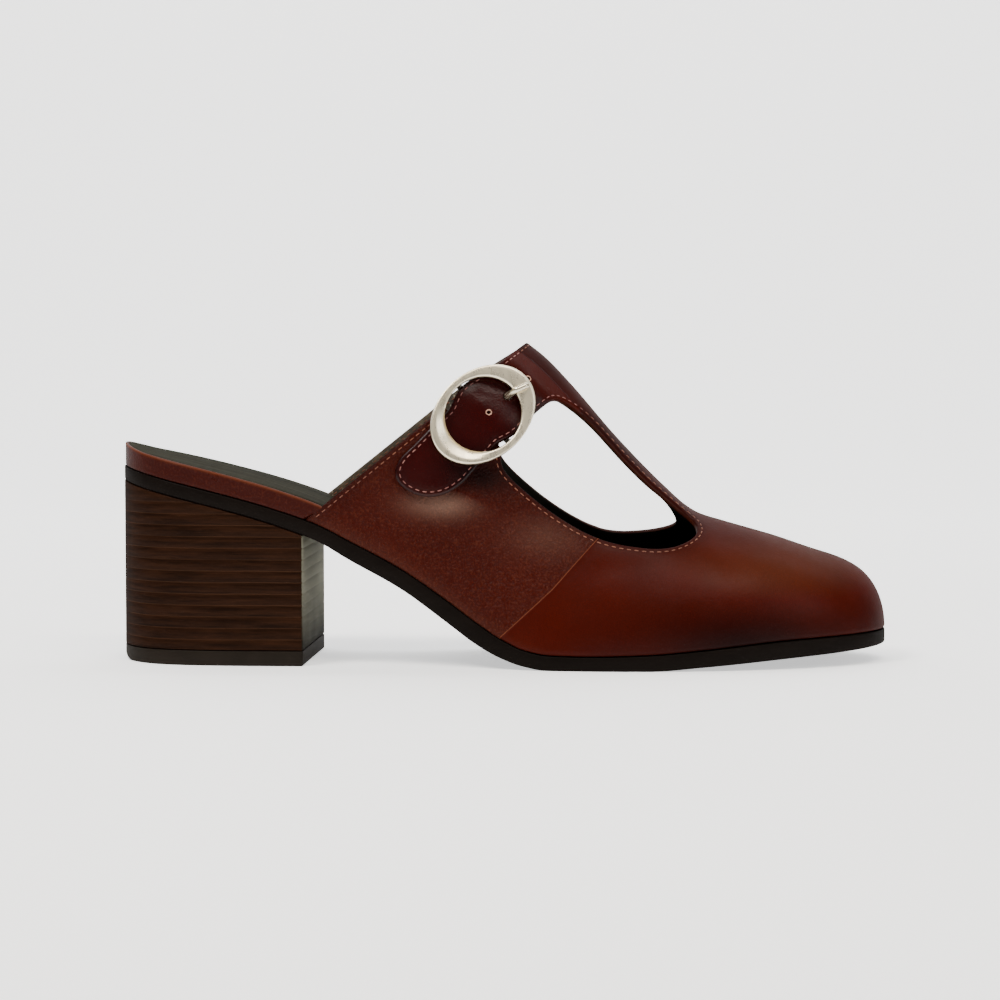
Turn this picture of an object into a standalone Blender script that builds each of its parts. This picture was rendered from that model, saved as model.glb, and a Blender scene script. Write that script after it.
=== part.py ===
"""Heeled mule: a right shoe with a T-bar, a free strap end and an oval buckle.

Toe at +X, lateral side at -Y, +Z up. Every size is in metres.
The upper is one wall over a last. A point of the last has a station, which
counts from the collar (0) to the toe (10), and a share of the way up its
column, from the feather line (0) to the ridge (1).
"""
import math

import bmesh
import bpy
import numpy as np
from mathutils import Vector, geometry

# Driving sizes
LENGTH = 0.2392
BALL_WIDTH = 0.076
APEX_HEIGHT = 0.0991
SEAT_HEIGHT = 0.0612
WALL = 0.002
SOLE_EDGE = 0.0001
HEEL_LENGTH = 0.0592
TOP_PIECE = 0.0046
BOARD_AT_SEAT = 0.0052
BOARD_AT_BALL = 0.0026
SOCK = 0.0008
GAP = 0.0003
WALL_CLEARANCE = 0.0006

# Strap, buckle and prong
STRAP_STATION = 0.55
STRAP_EDGE_STATIONS = (0.10, 0.985)
TIP_EDGE_STATIONS = (0.10, 0.97)
STRAP_TIP_SHARE = 0.173
STRAP_ROOT_SHARE = 0.82
STRAP_ROOT_STATION = 1.53
FLARE_SHARE = 0.66
STRAP_REST = 0.00236
STRAP_OVER_BAR = 0.0032
HOLE_RADIUS = 0.00125
HOLE_SHARES = (0.493, 0.579, 0.697)
TAB_SHARE = 0.435
TAB_STATION = 1.12
MEDIAL_COLLAR_STATIONS = 0.14
MEDIAL_WINDOW_REAR_STATIONS = 0.15
MEDIAL_WINDOW_FRONT_STATIONS = 0.38
MEDIAL_WINDOW_TOP_SHARE = 0.03
BUCKLE_SHARE = 0.487
BUCKLE_LENGTH = 0.0358
BUCKLE_WIDTH = 0.0270
BUCKLE_OPENING = (0.0244, 0.0226)
BUCKLE_CENTRE = (-0.0014, -0.0006)
BUCKLE_UNDERSIDE = 0.0025
BUCKLE_THICKNESS = 0.0024
BAR_RADIUS = 0.0009
BAR_DEPTH = -0.0015
PRONG_RADIUS = 0.00075
LOOP_WALL = 0.0009

# Mesh steps, as shares of a station and of a column
STATION_STEP = 0.25
COLUMN_STEP = 1 / 15
STATION_PITCH = 20.0
COLUMN_PITCH = 80.0

X_BACK = -LENGTH * 0.5015
HALF_BALL = BALL_WIDTH / 2
TOE_STATION = 10

# Outline of the sole: share of LENGTH from the back, lateral and medial half-width
# as shares of half the ball width. The first row is the back, the last the toe.
REAR_ROWS = (
    (0.003, 0.000, 0.000),
    (0.015, 0.300, 0.300),
    (0.048, 0.540, 0.550),
    (0.100, 0.660, 0.680),
    (0.171, 0.700, 0.710),
)
# The same three columns, then what belongs to the last: share of LENGTH of the
# column's top, lean of the column as a share of LENGTH, fullness of its shoulder.
# The first row stands behind the collar, the second at station 0.
LAST_ROWS = (
    (0.159, 0.700, 0.710, 0.474, 0.316, 2.30),
    (0.251, 0.710, 0.697, 0.530, 0.279, 2.30),
    (0.343, 0.724, 0.645, 0.585, 0.242, 2.30),
    (0.435, 0.776, 0.671, 0.640, 0.205, 2.20),
    (0.527, 0.921, 0.816, 0.696, 0.169, 2.20),
    (0.619, 1.000, 0.960, 0.753, 0.125, 2.20),
    (0.711, 0.987, 1.000, 0.799, 0.079, 2.20),
    (0.803, 0.908, 0.947, 0.840, 0.038, 2.35),
    (0.886, 0.737, 0.829, 0.874, 0.013, 2.60),
    (0.949, 0.500, 0.658, 0.895, 0.000, 2.90),
    (0.987, 0.224, 0.421, 0.908, 0.000, 3.10),
    (1.000, -0.105, 0.105, 0.912, 0.000, 3.20),
)

# Side profile of the sole: share of LENGTH, height of its top and of its bottom
# edge as shares of SEAT_HEIGHT.
PROFILE_ROWS = (
    (0.000, 1.000, 0.926),
    (0.259, 0.722, 0.640),
    (0.309, 0.625, 0.530),
    (0.373, 0.491, 0.391),
    (0.437, 0.322, 0.212),
    (0.468, 0.234, 0.125),
    (0.501, 0.152, 0.056),
    (0.530, 0.101, 0.018),
    (0.560, 0.078, 0.000),
    (0.610, 0.074, 0.000),
    (0.690, 0.082, 0.000),
    (0.755, 0.103, 0.018),
    (0.870, 0.146, 0.055),
    (0.960, 0.160, 0.078),
    (1.000, 0.164, 0.090),
)

# Ridge of the last: share of LENGTH, height as a share of APEX_HEIGHT.
RIDGE_ROWS = (
    (0.470, 1.110),
    (0.530, 1.000),
    (0.555, 0.952),
    (0.587, 0.872),
    (0.649, 0.699),
    (0.711, 0.546),
    (0.740, 0.484),
    (0.757, 0.460),
    (0.789, 0.436),
    (0.853, 0.391),
    (0.915, 0.341),
    (0.960, 0.313),
    (1.000, 0.300),
)

# Edge of a side window, in stations and shares, once round from its rear corner.
WINDOW_ROWS = (
    (1.05, 0.700),
    (1.04, 0.580),
    (1.07, 0.460),
    (1.28, 0.394),
    (1.70, 0.384),
    (2.20, 0.394),
    (2.80, 0.424),
    (3.35, 0.469),
    (3.85, 0.527),
    (4.16, 0.600),
    (4.29, 0.700),
    (4.10, 0.806),
    (3.70, 0.856),
    (3.10, 0.845),
    (2.40, 0.843),
    (1.90, 0.846),
    (1.50, 0.815),
    (1.22, 0.768),
)


def make_material(name, colour, roughness, metallic=0.0):
    material = bpy.data.materials.new(name)
    material.use_nodes = True
    shader = material.node_tree.nodes["Principled BSDF"]
    shader.inputs["Base Color"].default_value = (*colour, 1.0)
    shader.inputs["Roughness"].default_value = roughness
    shader.inputs["Metallic"].default_value = metallic
    material.diffuse_color = (*colour, 1.0)
    return material


def spline(position, rows):
    """Natural cubic through rows that stand one apart."""
    rows = np.asarray(rows, float)
    last = len(rows) - 1
    system = np.eye(last + 1)
    right = np.zeros_like(rows)
    for i in range(1, last):
        system[i, i - 1:i + 2] = (1, 4, 1)
        right[i] = 6 * (rows[i - 1] - 2 * rows[i] + rows[i + 1])
    bend = np.linalg.solve(system, right)
    position = np.clip(np.asarray(position, float), 0, last)
    low = np.minimum(position.astype(int), last - 1)
    after = (position - low)[:, None]
    before = 1 - after
    straight = before * rows[low] + after * rows[low + 1]
    curved = (before ** 3 - before) * bend[low] + (after ** 3 - after) * bend[low + 1]
    return straight + curved / 6


def profile(x, rows, column):
    """Smooth curve through a table's rows that keeps their rises and falls."""
    rows = np.asarray(rows, float)
    at, value = rows[:, 0], rows[:, column]
    step = np.diff(at)
    slope = np.diff(value) / step
    tangent = np.zeros(len(at))
    tangent[0], tangent[-1] = slope[0], slope[-1]
    for i in range(1, len(at) - 1):
        if slope[i - 1] * slope[i] > 0:
            a = 2 * step[i] + step[i - 1]
            b = step[i] + 2 * step[i - 1]
            tangent[i] = (a + b) / (a / slope[i - 1] + b / slope[i])
    share = (np.asarray(x, float) - X_BACK) / LENGTH
    i = np.clip(np.searchsorted(at, share) - 1, 0, len(at) - 2)
    t = (share - at[i]) / step[i]
    return (
        (1 + 2 * t) * (1 - t) ** 2 * value[i]
        + t * (1 - t) ** 2 * step[i] * tangent[i]
        + t * t * (3 - 2 * t) * value[i + 1]
        + t * t * (t - 1) * step[i] * tangent[i + 1]
    )


def sole_top(x):
    return profile(x, PROFILE_ROWS, 1) * SEAT_HEIGHT


def sole_bottom(x):
    return profile(x, PROFILE_ROWS, 2) * SEAT_HEIGHT


def outline_rows(rows):
    """Rows of (x, y) along the lateral side to the toe and back on the medial side."""
    lateral = [(X_BACK + r[0] * LENGTH, -r[1] * HALF_BALL) for r in rows]
    medial = [(X_BACK + r[0] * LENGTH, r[2] * HALF_BALL) for r in rows]
    return np.array(lateral + medial[-2::-1])


FEATHER_LOOP = outline_rows(LAST_ROWS)
COLUMN_LOOP = np.array(
    [r[3:] for r in LAST_ROWS] + [r[3:] for r in LAST_ROWS[-2::-1]]
)


def last_point(station, share):
    """Point of the last; stations past the toe run back along the medial side."""
    station, share = np.broadcast_arrays(
        np.asarray(station, float), np.asarray(share, float)
    )
    shape = station.shape
    station, share = station.ravel(), share.ravel()
    foot = spline(station + 1, FEATHER_LOOP)
    top, lean, fullness = spline(station + 1, COLUMN_LOOP).T
    top_x = X_BACK + top * LENGTH
    lean = lean * LENGTH
    top_y = 0.105 * HALF_BALL * np.minimum(station, 2 * TOE_STATION - station) / TOE_STATION
    angle = np.clip(share, 0, 1) * math.pi / 2
    width = np.clip(np.cos(angle), 0, 1) ** (2 / fullness)
    rise = np.sin(angle)
    level_x = top_x + (foot[:, 0] - top_x + lean) * width
    ridge = profile(np.maximum(level_x, X_BACK + RIDGE_ROWS[0][0] * LENGTH), RIDGE_ROWS, 1) * APEX_HEIGHT
    base = sole_top(foot[:, 0])
    points = np.stack([
        level_x - lean * (1 - rise),
        top_y + (foot[:, 1] - top_y) * width,
        base + (ridge - base) * rise,
    ], axis=1)
    return points.reshape(shape + (3,))


def last_normal(station, share):
    """Outward normal of the last."""
    step = 1e-3
    station = np.asarray(station, float)
    share = np.clip(np.asarray(share, float), 0.003, 0.997)
    along = last_point(station + step, share) - last_point(station - step, share)
    up = last_point(station, share + step) - last_point(station, share - step)
    normal = np.cross(along, up)
    return normal / np.linalg.norm(normal, axis=-1, keepdims=True)


def off_last(station, share, offset):
    offset = np.asarray(offset, float)[..., None]
    return last_point(station, share) + last_normal(station, share) * offset


def strap_offset(share):
    """Height of the free strap end's outer face over the last."""
    share = np.asarray(share, float)
    leave = np.clip((STRAP_ROOT_SHARE - share) / 0.17, 0, 1)
    over_bar = np.exp(-((share - BUCKLE_SHARE) / 0.055) ** 2)
    rest = STRAP_REST * leave * leave * (3 - 2 * leave)
    return rest + (STRAP_OVER_BAR - STRAP_REST) * over_bar


def closed_spline(rows, count):
    """Even samples of a closed smooth curve through rows."""
    rows = np.asarray(rows, float)
    wrapped = np.concatenate([rows[-4:], rows, rows[:4]])
    fine = spline(np.linspace(4, 4 + len(rows), 400), wrapped)
    pitch = np.array([STATION_PITCH, COLUMN_PITCH])
    run = np.concatenate([[0], np.cumsum(np.linalg.norm(np.diff(fine * pitch, axis=0), axis=1))])
    stops = np.linspace(0, run[-1], count + 1)[:-1]
    return np.stack([np.interp(stops, run, fine[:, i]) for i in (0, 1)], axis=1)


def line(start, end, count):
    """Points from start up to, but without, end."""
    t = np.linspace(0, 1, count + 1)[:-1, None]
    return np.array(start) * (1 - t) + np.array(end) * t


def inside(points, loop):
    """Which points lie inside a closed loop."""
    result = np.zeros(len(points), bool)
    for a, b in zip(loop, np.roll(loop, -1, axis=0)):
        crosses = (a[1] > points[:, 1]) != (b[1] > points[:, 1])
        rise = b[1] - a[1] if b[1] != a[1] else 1e-12
        at = a[0] + (points[:, 1] - a[1]) * (b[0] - a[0]) / rise
        result ^= crosses & (points[:, 0] < at)
    return result


def mesh_region(border, holes):
    """Triangles over a region of stations and shares that keep its edges."""
    pitch = np.array([STATION_PITCH, COLUMN_PITCH])
    loops = [border * pitch] + [hole * pitch for hole in holes]
    edge_points = np.concatenate(loops)
    low, high = loops[0].min(axis=0), loops[0].max(axis=0)
    step = np.array([STATION_STEP, COLUMN_STEP]) * pitch
    grid = np.stack(np.meshgrid(
        np.arange(low[0] + step[0] / 2, high[0], step[0]),
        np.arange(low[1] + step[1] / 2, high[1], step[1]),
        indexing="ij",
    ), axis=-1).reshape(-1, 2)
    keep = inside(grid, loops[0])
    for loop in loops[1:]:
        keep &= ~inside(grid, loop)
    reach = np.linalg.norm(grid[:, None] - edge_points[None], axis=2).min(axis=1)
    grid = grid[keep & (reach > 0.45 * step.min())]
    points = np.concatenate([edge_points, grid])
    edges = []
    first = 0
    for loop in loops:
        size = len(loop)
        edges += [(first + i, first + (i + 1) % size) for i in range(size)]
        first += size
    found = geometry.delaunay_2d_cdt(
        [Vector(p) for p in points], edges, [], 0, 1e-7
    )
    flat = np.array([tuple(v) for v in found[0]])
    faces = np.array([tuple(f) for f in found[2]])
    centres = flat[faces].mean(axis=1)
    keep = inside(centres, loops[0])
    for loop in loops[1:]:
        keep &= ~inside(centres, loop)
    return flat / pitch, faces[keep]


def add_object(name, points, faces, material, smooth=True):
    mesh = bpy.data.meshes.new(name)
    mesh.from_pydata([tuple(p) for p in points], [], [tuple(int(i) for i in f) for f in faces])
    mesh.materials.append(material)
    thing = bpy.data.objects.new(name, mesh)
    SHOE.objects.link(thing)
    for face in mesh.polygons:
        face.use_smooth = smooth
    return thing


def weld(thing, distance=1e-6):
    shape = bmesh.new()
    shape.from_mesh(thing.data)
    bmesh.ops.remove_doubles(shape, verts=shape.verts, dist=distance)
    bmesh.ops.recalc_face_normals(shape, faces=shape.faces)
    shape.to_mesh(thing.data)
    shape.free()


def apply_modifiers(thing):
    """Write the object's modifiers into its mesh."""
    graph = bpy.context.evaluated_depsgraph_get()
    mesh = bpy.data.meshes.new_from_object(thing.evaluated_get(graph))
    thing.modifiers.clear()
    thing.data = mesh
    return mesh


def slab(name, lateral, medial, top, bottom, material):
    """Solid between two side lines, ruled from side to side and closed at both ends."""
    count = len(lateral)
    points = []
    for side in (lateral, medial):
        for height in (top, bottom):
            points += [(x, y, z) for (x, y), z in zip(side, height(side[:, 0]))]
    points = np.array(points).reshape(4, count, 3)
    index = np.arange(4 * count).reshape(4, count)
    left_top, left_low, right_top, right_low = index
    faces = []
    for i in range(count - 1):
        faces.append((left_top[i], left_top[i + 1], right_top[i + 1], right_top[i]))
        faces.append((left_low[i + 1], left_low[i], right_low[i], right_low[i + 1]))
        faces.append((left_low[i], left_low[i + 1], left_top[i + 1], left_top[i]))
        faces.append((right_top[i], right_top[i + 1], right_low[i + 1], right_low[i]))
    for i in (0, count - 1):
        if np.linalg.norm(lateral[i] - medial[i]) > 1e-5:
            faces.append((left_top[i], left_low[i], right_low[i], right_top[i]))
    thing = add_object(name, points.reshape(-1, 3), faces, material, smooth=False)
    shape = bmesh.new()
    shape.from_mesh(thing.data)
    bmesh.ops.remove_doubles(shape, verts=shape.verts, dist=1e-6)
    bmesh.ops.dissolve_degenerate(shape, edges=shape.edges, dist=1e-7)
    bmesh.ops.triangulate(shape, faces=shape.faces)
    bmesh.ops.recalc_face_normals(shape, faces=shape.faces)
    shape.to_mesh(thing.data)
    shape.free()
    return thing


def sole_sides(inset, marks=()):
    """Side lines of the sole, moved inward by inset(x), with a point at each marked x."""
    rows = REAR_ROWS + tuple(r[:3] for r in LAST_ROWS[1:])
    end = len(rows) - 1
    loop = outline_rows(rows)
    closed = np.concatenate([loop[-5:-1], loop, loop[1:5]])
    stops = np.linspace(0, end, 4 * end + 1)
    fine = np.linspace(0, end, 40 * end + 1)
    stops = np.unique(np.append(stops, np.interp(marks, spline(fine + 4, closed)[:, 0], fine)))

    def side(position):
        point = spline(position + 4, closed)
        ahead = spline(position + 4.001, closed)
        behind = spline(position + 3.999, closed)
        run = ahead - behind
        inward = np.stack([-run[:, 1], run[:, 0]], axis=1)
        inward /= np.linalg.norm(inward, axis=1, keepdims=True)
        return point + inward * inset(point[:, 0])[:, None]

    return side(stops), side(2 * end - stops)


BOARD_STEP = (FEATHER_LOOP[1, 0] - 0.0044, FEATHER_LOOP[1, 0] - 0.0038)


def board_inset(x):
    """Edge of the insole board: flush behind the collar, inside the wall before it."""
    step = np.clip((x - BOARD_STEP[0]) / (BOARD_STEP[1] - BOARD_STEP[0]), 0, 1)
    return GAP + step * (WALL + WALL_CLEARANCE - GAP)


def board_thickness(x):
    share = np.clip((x - X_BACK) / LENGTH, 0, 1)
    fade = np.clip((share - 0.30) / 0.25, 0, 1)
    back_lip = 0.0012 * np.clip(1 - share / 0.045, 0, 1) ** 2
    body = BOARD_AT_SEAT + (BOARD_AT_BALL - BOARD_AT_SEAT) * fade * fade * (3 - 2 * fade)
    return body + back_lip


def build_sole():
    """Outsole, heel block, lift, insole board and sock."""
    lateral, medial = sole_sides(lambda x: np.full_like(x, -SOLE_EDGE))
    slab("outsole", lateral, medial, lambda x: sole_top(x) - GAP, sole_bottom, DARK_EDGE)

    lateral, medial = sole_sides(lambda x: np.full_like(x, -0.0001))
    breast = X_BACK + HEEL_LENGTH
    seat = []
    for side in (lateral, medial):
        keep = side[side[:, 0] < breast]
        cut = np.interp(breast, side[:24, 0], side[:24, 1])
        seat.append(np.concatenate([keep, [(breast, cut)]]))
    slab("heel", *seat, lambda x: sole_bottom(x) - GAP,
         lambda x: np.full_like(x, TOP_PIECE + GAP), STACK)
    slab("heel_top_piece", *seat, lambda x: np.full_like(x, TOP_PIECE),
         lambda x: np.zeros_like(x), RUBBER)

    lateral, medial = sole_sides(board_inset, BOARD_STEP)
    slab("insole_rim", lateral, medial, lambda x: sole_top(x) + board_thickness(x),
         lambda x: sole_top(x), RIM_LEATHER)
    lateral, medial = sole_sides(lambda x: board_inset(x) + 0.0011, BOARD_STEP)
    slab("insole_sock", lateral, medial,
         lambda x: sole_top(x) + board_thickness(x) + GAP + SOCK,
         lambda x: sole_top(x) + board_thickness(x) + GAP, SOCK_LEATHER)


def window_edge():
    return closed_spline(WINDOW_ROWS, 64)


def medial_window_edge():
    """The medial window stands a little further back and ends lower at the T-bar."""
    rows = np.array(WINDOW_ROWS)
    rear = np.clip((1.6 - rows[:, 0]) / 0.5, 0, 1)
    front = np.clip(rows[:, 0] - 3.0, 0, 1)
    top = np.clip((rows[:, 1] - 0.66) / 0.12, 0, 1)
    rows[:, 0] -= MEDIAL_WINDOW_REAR_STATIONS * rear + MEDIAL_WINDOW_FRONT_STATIONS * front
    rows[:, 1] -= MEDIAL_WINDOW_TOP_SHARE * top
    return closed_spline(rows, 64)


def nearest_on(loop, station, share):
    pitch = np.array([STATION_PITCH, COLUMN_PITCH])
    return int(np.argmin(np.linalg.norm((loop - (station, share)) * pitch, axis=1)))


def medial_collar(share):
    """Station of the medial collar, which stands a little behind the lateral one."""
    fade = np.clip((np.asarray(share, float) - 0.45) / 0.45, 0, 1)
    return -MEDIAL_COLLAR_STATIONS * (1 - fade * fade * (3 - 2 * fade))


def front_border():
    """Base, nose and ridge of either half, from the collar round to the collar."""
    stops = np.linspace(0, TOE_STATION, int(TOE_STATION / STATION_STEP) + 1)
    base = np.stack([stops[:-1], np.zeros(len(stops) - 1)], axis=1)
    nose = line((TOE_STATION, 0), (TOE_STATION, 1), 12)
    ridge = np.stack([stops[:0:-1], np.ones(len(stops) - 1)], axis=1)
    return np.concatenate([base, nose, ridge])


def lateral_border(window, root, tab):
    """Edge of the lateral half: front, strap root, window, tab and collar."""
    collar_top = line((0, 1), (0, STRAP_ROOT_SHARE), 3)
    strap_root = line((0, STRAP_ROOT_SHARE), window[root], 6)
    around = window[root:tab - 1:-1] if root > tab else np.concatenate(
        [window[root::-1], window[:tab - 1:-1]])
    tab_line = line((1.0, TAB_SHARE), (0, TAB_SHARE), 5)
    collar = line((0, TAB_SHARE), (0, 0), 8)
    return np.concatenate([front_border(), collar_top, strap_root, around, tab_line, collar])


def medial_border():
    """Edge of the medial half: front and collar."""
    border = front_border()
    border[0, 0] = -MEDIAL_COLLAR_STATIONS
    collar = line((0, 1), (0, 0), 16)
    collar[:, 0] = medial_collar(collar[:, 1])
    return np.concatenate([border, collar])


def hole_loop(station, share, radius, count=12):
    """Round hole of the given radius about a place on the last."""
    step = 1e-3
    across = np.linalg.norm(last_point(station + step, share) - last_point(station, share)) / step
    along = np.linalg.norm(last_point(station, share + step) - last_point(station, share)) / step
    angle = np.arange(count) * 2 * math.pi / count
    return np.stack([
        station + radius / across * np.cos(angle),
        share + radius / along * np.sin(angle),
    ], axis=1)


def strap_border(window, root):
    """Edge of the free strap end, from its root round the tip and back."""
    rear = nearest_on(window, STRAP_EDGE_STATIONS[1] + 0.02, FLARE_SHARE)
    order = [(root + i) % len(window) for i in range((rear - root) % len(window) + 1)]
    flare = window[order]
    low, high = TIP_EDGE_STATIONS
    half = (high - low) / 2
    centre = (high + low) / 2
    shoulder = STRAP_TIP_SHARE + 0.105
    through = BUCKLE_SHARE - 0.06
    outer = np.concatenate([
        line(flare[-1], (STRAP_EDGE_STATIONS[1], through), 5),
        line((STRAP_EDGE_STATIONS[1], through), (high, shoulder), 3),
    ])
    turn = np.linspace(0, math.pi, 15)
    tip = np.stack([
        centre + half * np.sign(np.cos(turn)) * np.abs(np.cos(turn)) ** 0.86,
        shoulder - (shoulder - STRAP_TIP_SHARE) * np.sin(turn) ** 0.86,
    ], axis=1)
    inner = np.concatenate([
        line((low, shoulder), (STRAP_EDGE_STATIONS[0], through), 3)[1:],
        line((STRAP_EDGE_STATIONS[0], through), (STRAP_EDGE_STATIONS[0], FLARE_SHARE), 5),
    ])
    collar = line((STRAP_EDGE_STATIONS[0], FLARE_SHARE), (0, STRAP_ROOT_SHARE), 4)
    root_line = line((0, STRAP_ROOT_SHARE), window[root], 6)
    return np.concatenate([outer, tip, inner, collar, root_line, flare[:-1]])


def build_upper():
    """Vamp, quarters, T-bar and band, and the free strap end, as one wall."""
    window = window_edge()
    root = nearest_on(window, STRAP_ROOT_STATION, STRAP_ROOT_SHARE)
    tab = nearest_on(window, TAB_STATION, TAB_SHARE)
    sheets = []

    flat, faces = mesh_region(lateral_border(window, root, tab), [])
    sheets.append((last_point(flat[:, 0], flat[:, 1]), faces))

    flat, faces = mesh_region(medial_border(), [medial_window_edge()])
    sheets.append((last_point(2 * TOE_STATION - flat[:, 0], flat[:, 1]), faces[:, ::-1]))

    holes = [hole_loop(STRAP_STATION, share, HOLE_RADIUS) for share in HOLE_SHARES]
    flat, faces = mesh_region(strap_border(window, root), holes)
    sheets.append((off_last(flat[:, 0], flat[:, 1], strap_offset(flat[:, 1])), faces))

    points, all_faces = [], []
    for sheet_points, sheet_faces in sheets:
        all_faces += [tuple(f + len(points)) for f in sheet_faces]
        points += list(sheet_points)
    upper = add_object("upper", points, all_faces, LEATHER)
    weld(upper, 2e-6)
    centre = upper.data.polygons[0].center
    outward = centre.y * upper.data.polygons[0].normal.y > 0
    if not outward:
        upper.data.flip_normals()
    solid = upper.modifiers.new("wall", "SOLIDIFY")
    solid.thickness = WALL
    solid.offset = -1
    solid.use_even_offset = False
    mesh = apply_modifiers(upper)
    for vertex in mesh.vertices:
        floor = float(sole_top(np.array([vertex.co.x]))[0])
        if vertex.co.z < floor:
            vertex.co.z = floor
    return upper


def buckle_frame():
    """Origin and axes of the buckle: along the strap to the ridge, across it, outward."""
    origin = last_point(STRAP_STATION, BUCKLE_SHARE)
    outward = last_normal(STRAP_STATION, BUCKLE_SHARE)
    ahead = last_point(STRAP_STATION, BUCKLE_SHARE + 0.01)
    along = ahead - last_point(STRAP_STATION, BUCKLE_SHARE - 0.01)
    along -= outward * (along @ outward)
    along /= np.linalg.norm(along)
    across = np.cross(along, outward)
    return origin, along, across, outward


def place(points):
    """Buckle coordinates (along, across, outward) to the shoe's."""
    origin, along, across, outward = buckle_frame()
    points = np.asarray(points, float)
    return (origin + points[..., :1] * along + points[..., 1:2] * across
            + points[..., 2:3] * outward)


def rod(path, radius, guide, sides=10):
    """Points and faces of a round rod along a path that lies square to the guide."""
    path = np.asarray(path, float)
    run = np.gradient(path, axis=0)
    run /= np.linalg.norm(run, axis=1, keepdims=True)
    points = []
    for centre, ahead in zip(path, run):
        side = np.cross(ahead, guide)
        side /= np.linalg.norm(side)
        other = np.cross(side, ahead)
        for i in range(sides):
            turn = 2 * math.pi * i / sides
            points.append(centre + radius * (math.cos(turn) * side + math.sin(turn) * other))
    faces = []
    for i in range(len(path) - 1):
        for j in range(sides):
            k = (j + 1) % sides
            faces.append((i * sides + j, i * sides + k, (i + 1) * sides + k, (i + 1) * sides + j))
    faces.append(tuple(range(sides)))
    faces.append(tuple((len(path) - 1) * sides + j for j in reversed(range(sides))))
    return np.array(points), faces


def soften(path, rounds):
    """Cut the corners of a path; its ends stay."""
    path = np.asarray(path, float)
    for _ in range(rounds):
        near = path[:-1] * 0.75 + path[1:] * 0.25
        far = path[:-1] * 0.25 + path[1:] * 0.75
        middle = np.stack([near, far], axis=1).reshape(-1, 3)
        path = np.concatenate([path[:1], middle[1:-1], path[-1:]])
    return path


def join_solids(target, other):
    """Union of two solids, kept in the first."""
    union = target.modifiers.new("join", "BOOLEAN")
    union.operation = "UNION"
    union.solver = "EXACT"
    union.object = other
    apply_modifiers(target)
    bpy.data.objects.remove(other)


def build_buckle():
    """Oval frame with a dropped centre bar."""
    rings = 72
    low = BUCKLE_UNDERSIDE
    high = BUCKLE_UNDERSIDE + BUCKLE_THICKNESS
    # Cross-section: share of the way from opening to rim, then height.
    section = (
        (0.00, low + 0.0009), (0.05, low + 0.0002), (0.16, low), (0.84, low),
        (0.95, low + 0.0003), (1.00, low + 0.0010), (1.00, high - 0.0008),
        (0.95, high - 0.0002), (0.86, high), (0.50, high - 0.0003),
        (0.22, high - 0.0001), (0.08, high - 0.0004), (0.00, high - 0.0009),
    )
    points = []
    for i in range(rings):
        turn = 2 * math.pi * i / rings
        c, s = math.cos(turn), math.sin(turn)
        rim = np.array([BUCKLE_LENGTH * c, BUCKLE_WIDTH * s]) / 2
        hole = np.array([BUCKLE_OPENING[0] * c, BUCKLE_OPENING[1] * s]) / 2
        for share, height in section:
            flat = BUCKLE_CENTRE + hole + (rim - hole) * share
            points.append((flat[0], flat[1], height))
    size = len(section)
    faces = []
    for i in range(rings):
        k = (i + 1) % rings
        for j in range(size):
            m = (j + 1) % size
            faces.append((i * size + j, i * size + m, k * size + m, k * size + j))
    frame = add_object("buckle_frame", place(points), faces, NICKEL)
    weld(frame)

    reach = (BUCKLE_OPENING[1] + BUCKLE_WIDTH) / 4
    end = [
        (reach, low + 0.0008), (reach - 0.0001, 0.0010), (reach - 0.0004, 0.0000),
        (reach - 0.0011, BAR_DEPTH + 0.0006), (reach - 0.0022, BAR_DEPTH + 0.0001),
        (reach - 0.0034, BAR_DEPTH),
    ]
    middle = BUCKLE_CENTRE[1]
    path = [(0, middle - b, n) for b, n in end] + [(0, middle, BAR_DEPTH)]
    path += [(0, middle + b, n) for b, n in end[::-1]]
    bar_points, bar_faces = rod(path, BAR_RADIUS, (1, 0, 0), 12)
    bar = add_object("bar", place(bar_points), bar_faces, NICKEL)
    weld(bar)
    join_solids(frame, bar)
    return frame


def build_prong():
    """Pin that starts as a ring on the bar and ends on the frame's far side."""
    centre = BAR_RADIUS + GAP + PRONG_RADIUS
    path = []
    for degrees in range(-40, -271, -15):
        turn = math.radians(degrees)
        path.append((centre * math.cos(turn), 0, BAR_DEPTH + centre * math.sin(turn)))
    share = HOLE_SHARES[1]
    outward = last_normal(STRAP_STATION, share)
    hole = off_last(STRAP_STATION, share, strap_offset(share) - WALL / 2)
    origin, *axes = buckle_frame()
    hole = np.array([(hole - origin) @ axis for axis in axes])
    outward = np.array([outward @ axis for axis in axes])
    top = BUCKLE_UNDERSIDE + BUCKLE_THICKNESS
    far = BUCKLE_LENGTH / 2 + BUCKLE_CENTRE[0] + 0.0008
    rest = top + PRONG_RADIUS + GAP
    path += [
        (0.0020, 0, BAR_DEPTH + centre), tuple(hole - outward * 0.0030 - (0.0022, 0, 0)),
        tuple(hole - outward * 0.0021), tuple(hole - outward * 0.0010), tuple(hole + outward * 0.0010),
        tuple(hole + outward * 0.0020), (far - 0.0066, 0.0006, rest),
        (far - 0.0050, 0.0010, rest), (far - 0.0024, 0.0018, rest),
    ]
    points, faces = rod(soften(path, 1), PRONG_RADIUS, (0, 1, 0))
    prong = add_object("buckle_prong", place(points), faces, NICKEL)
    weld(prong)
    return prong


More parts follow.
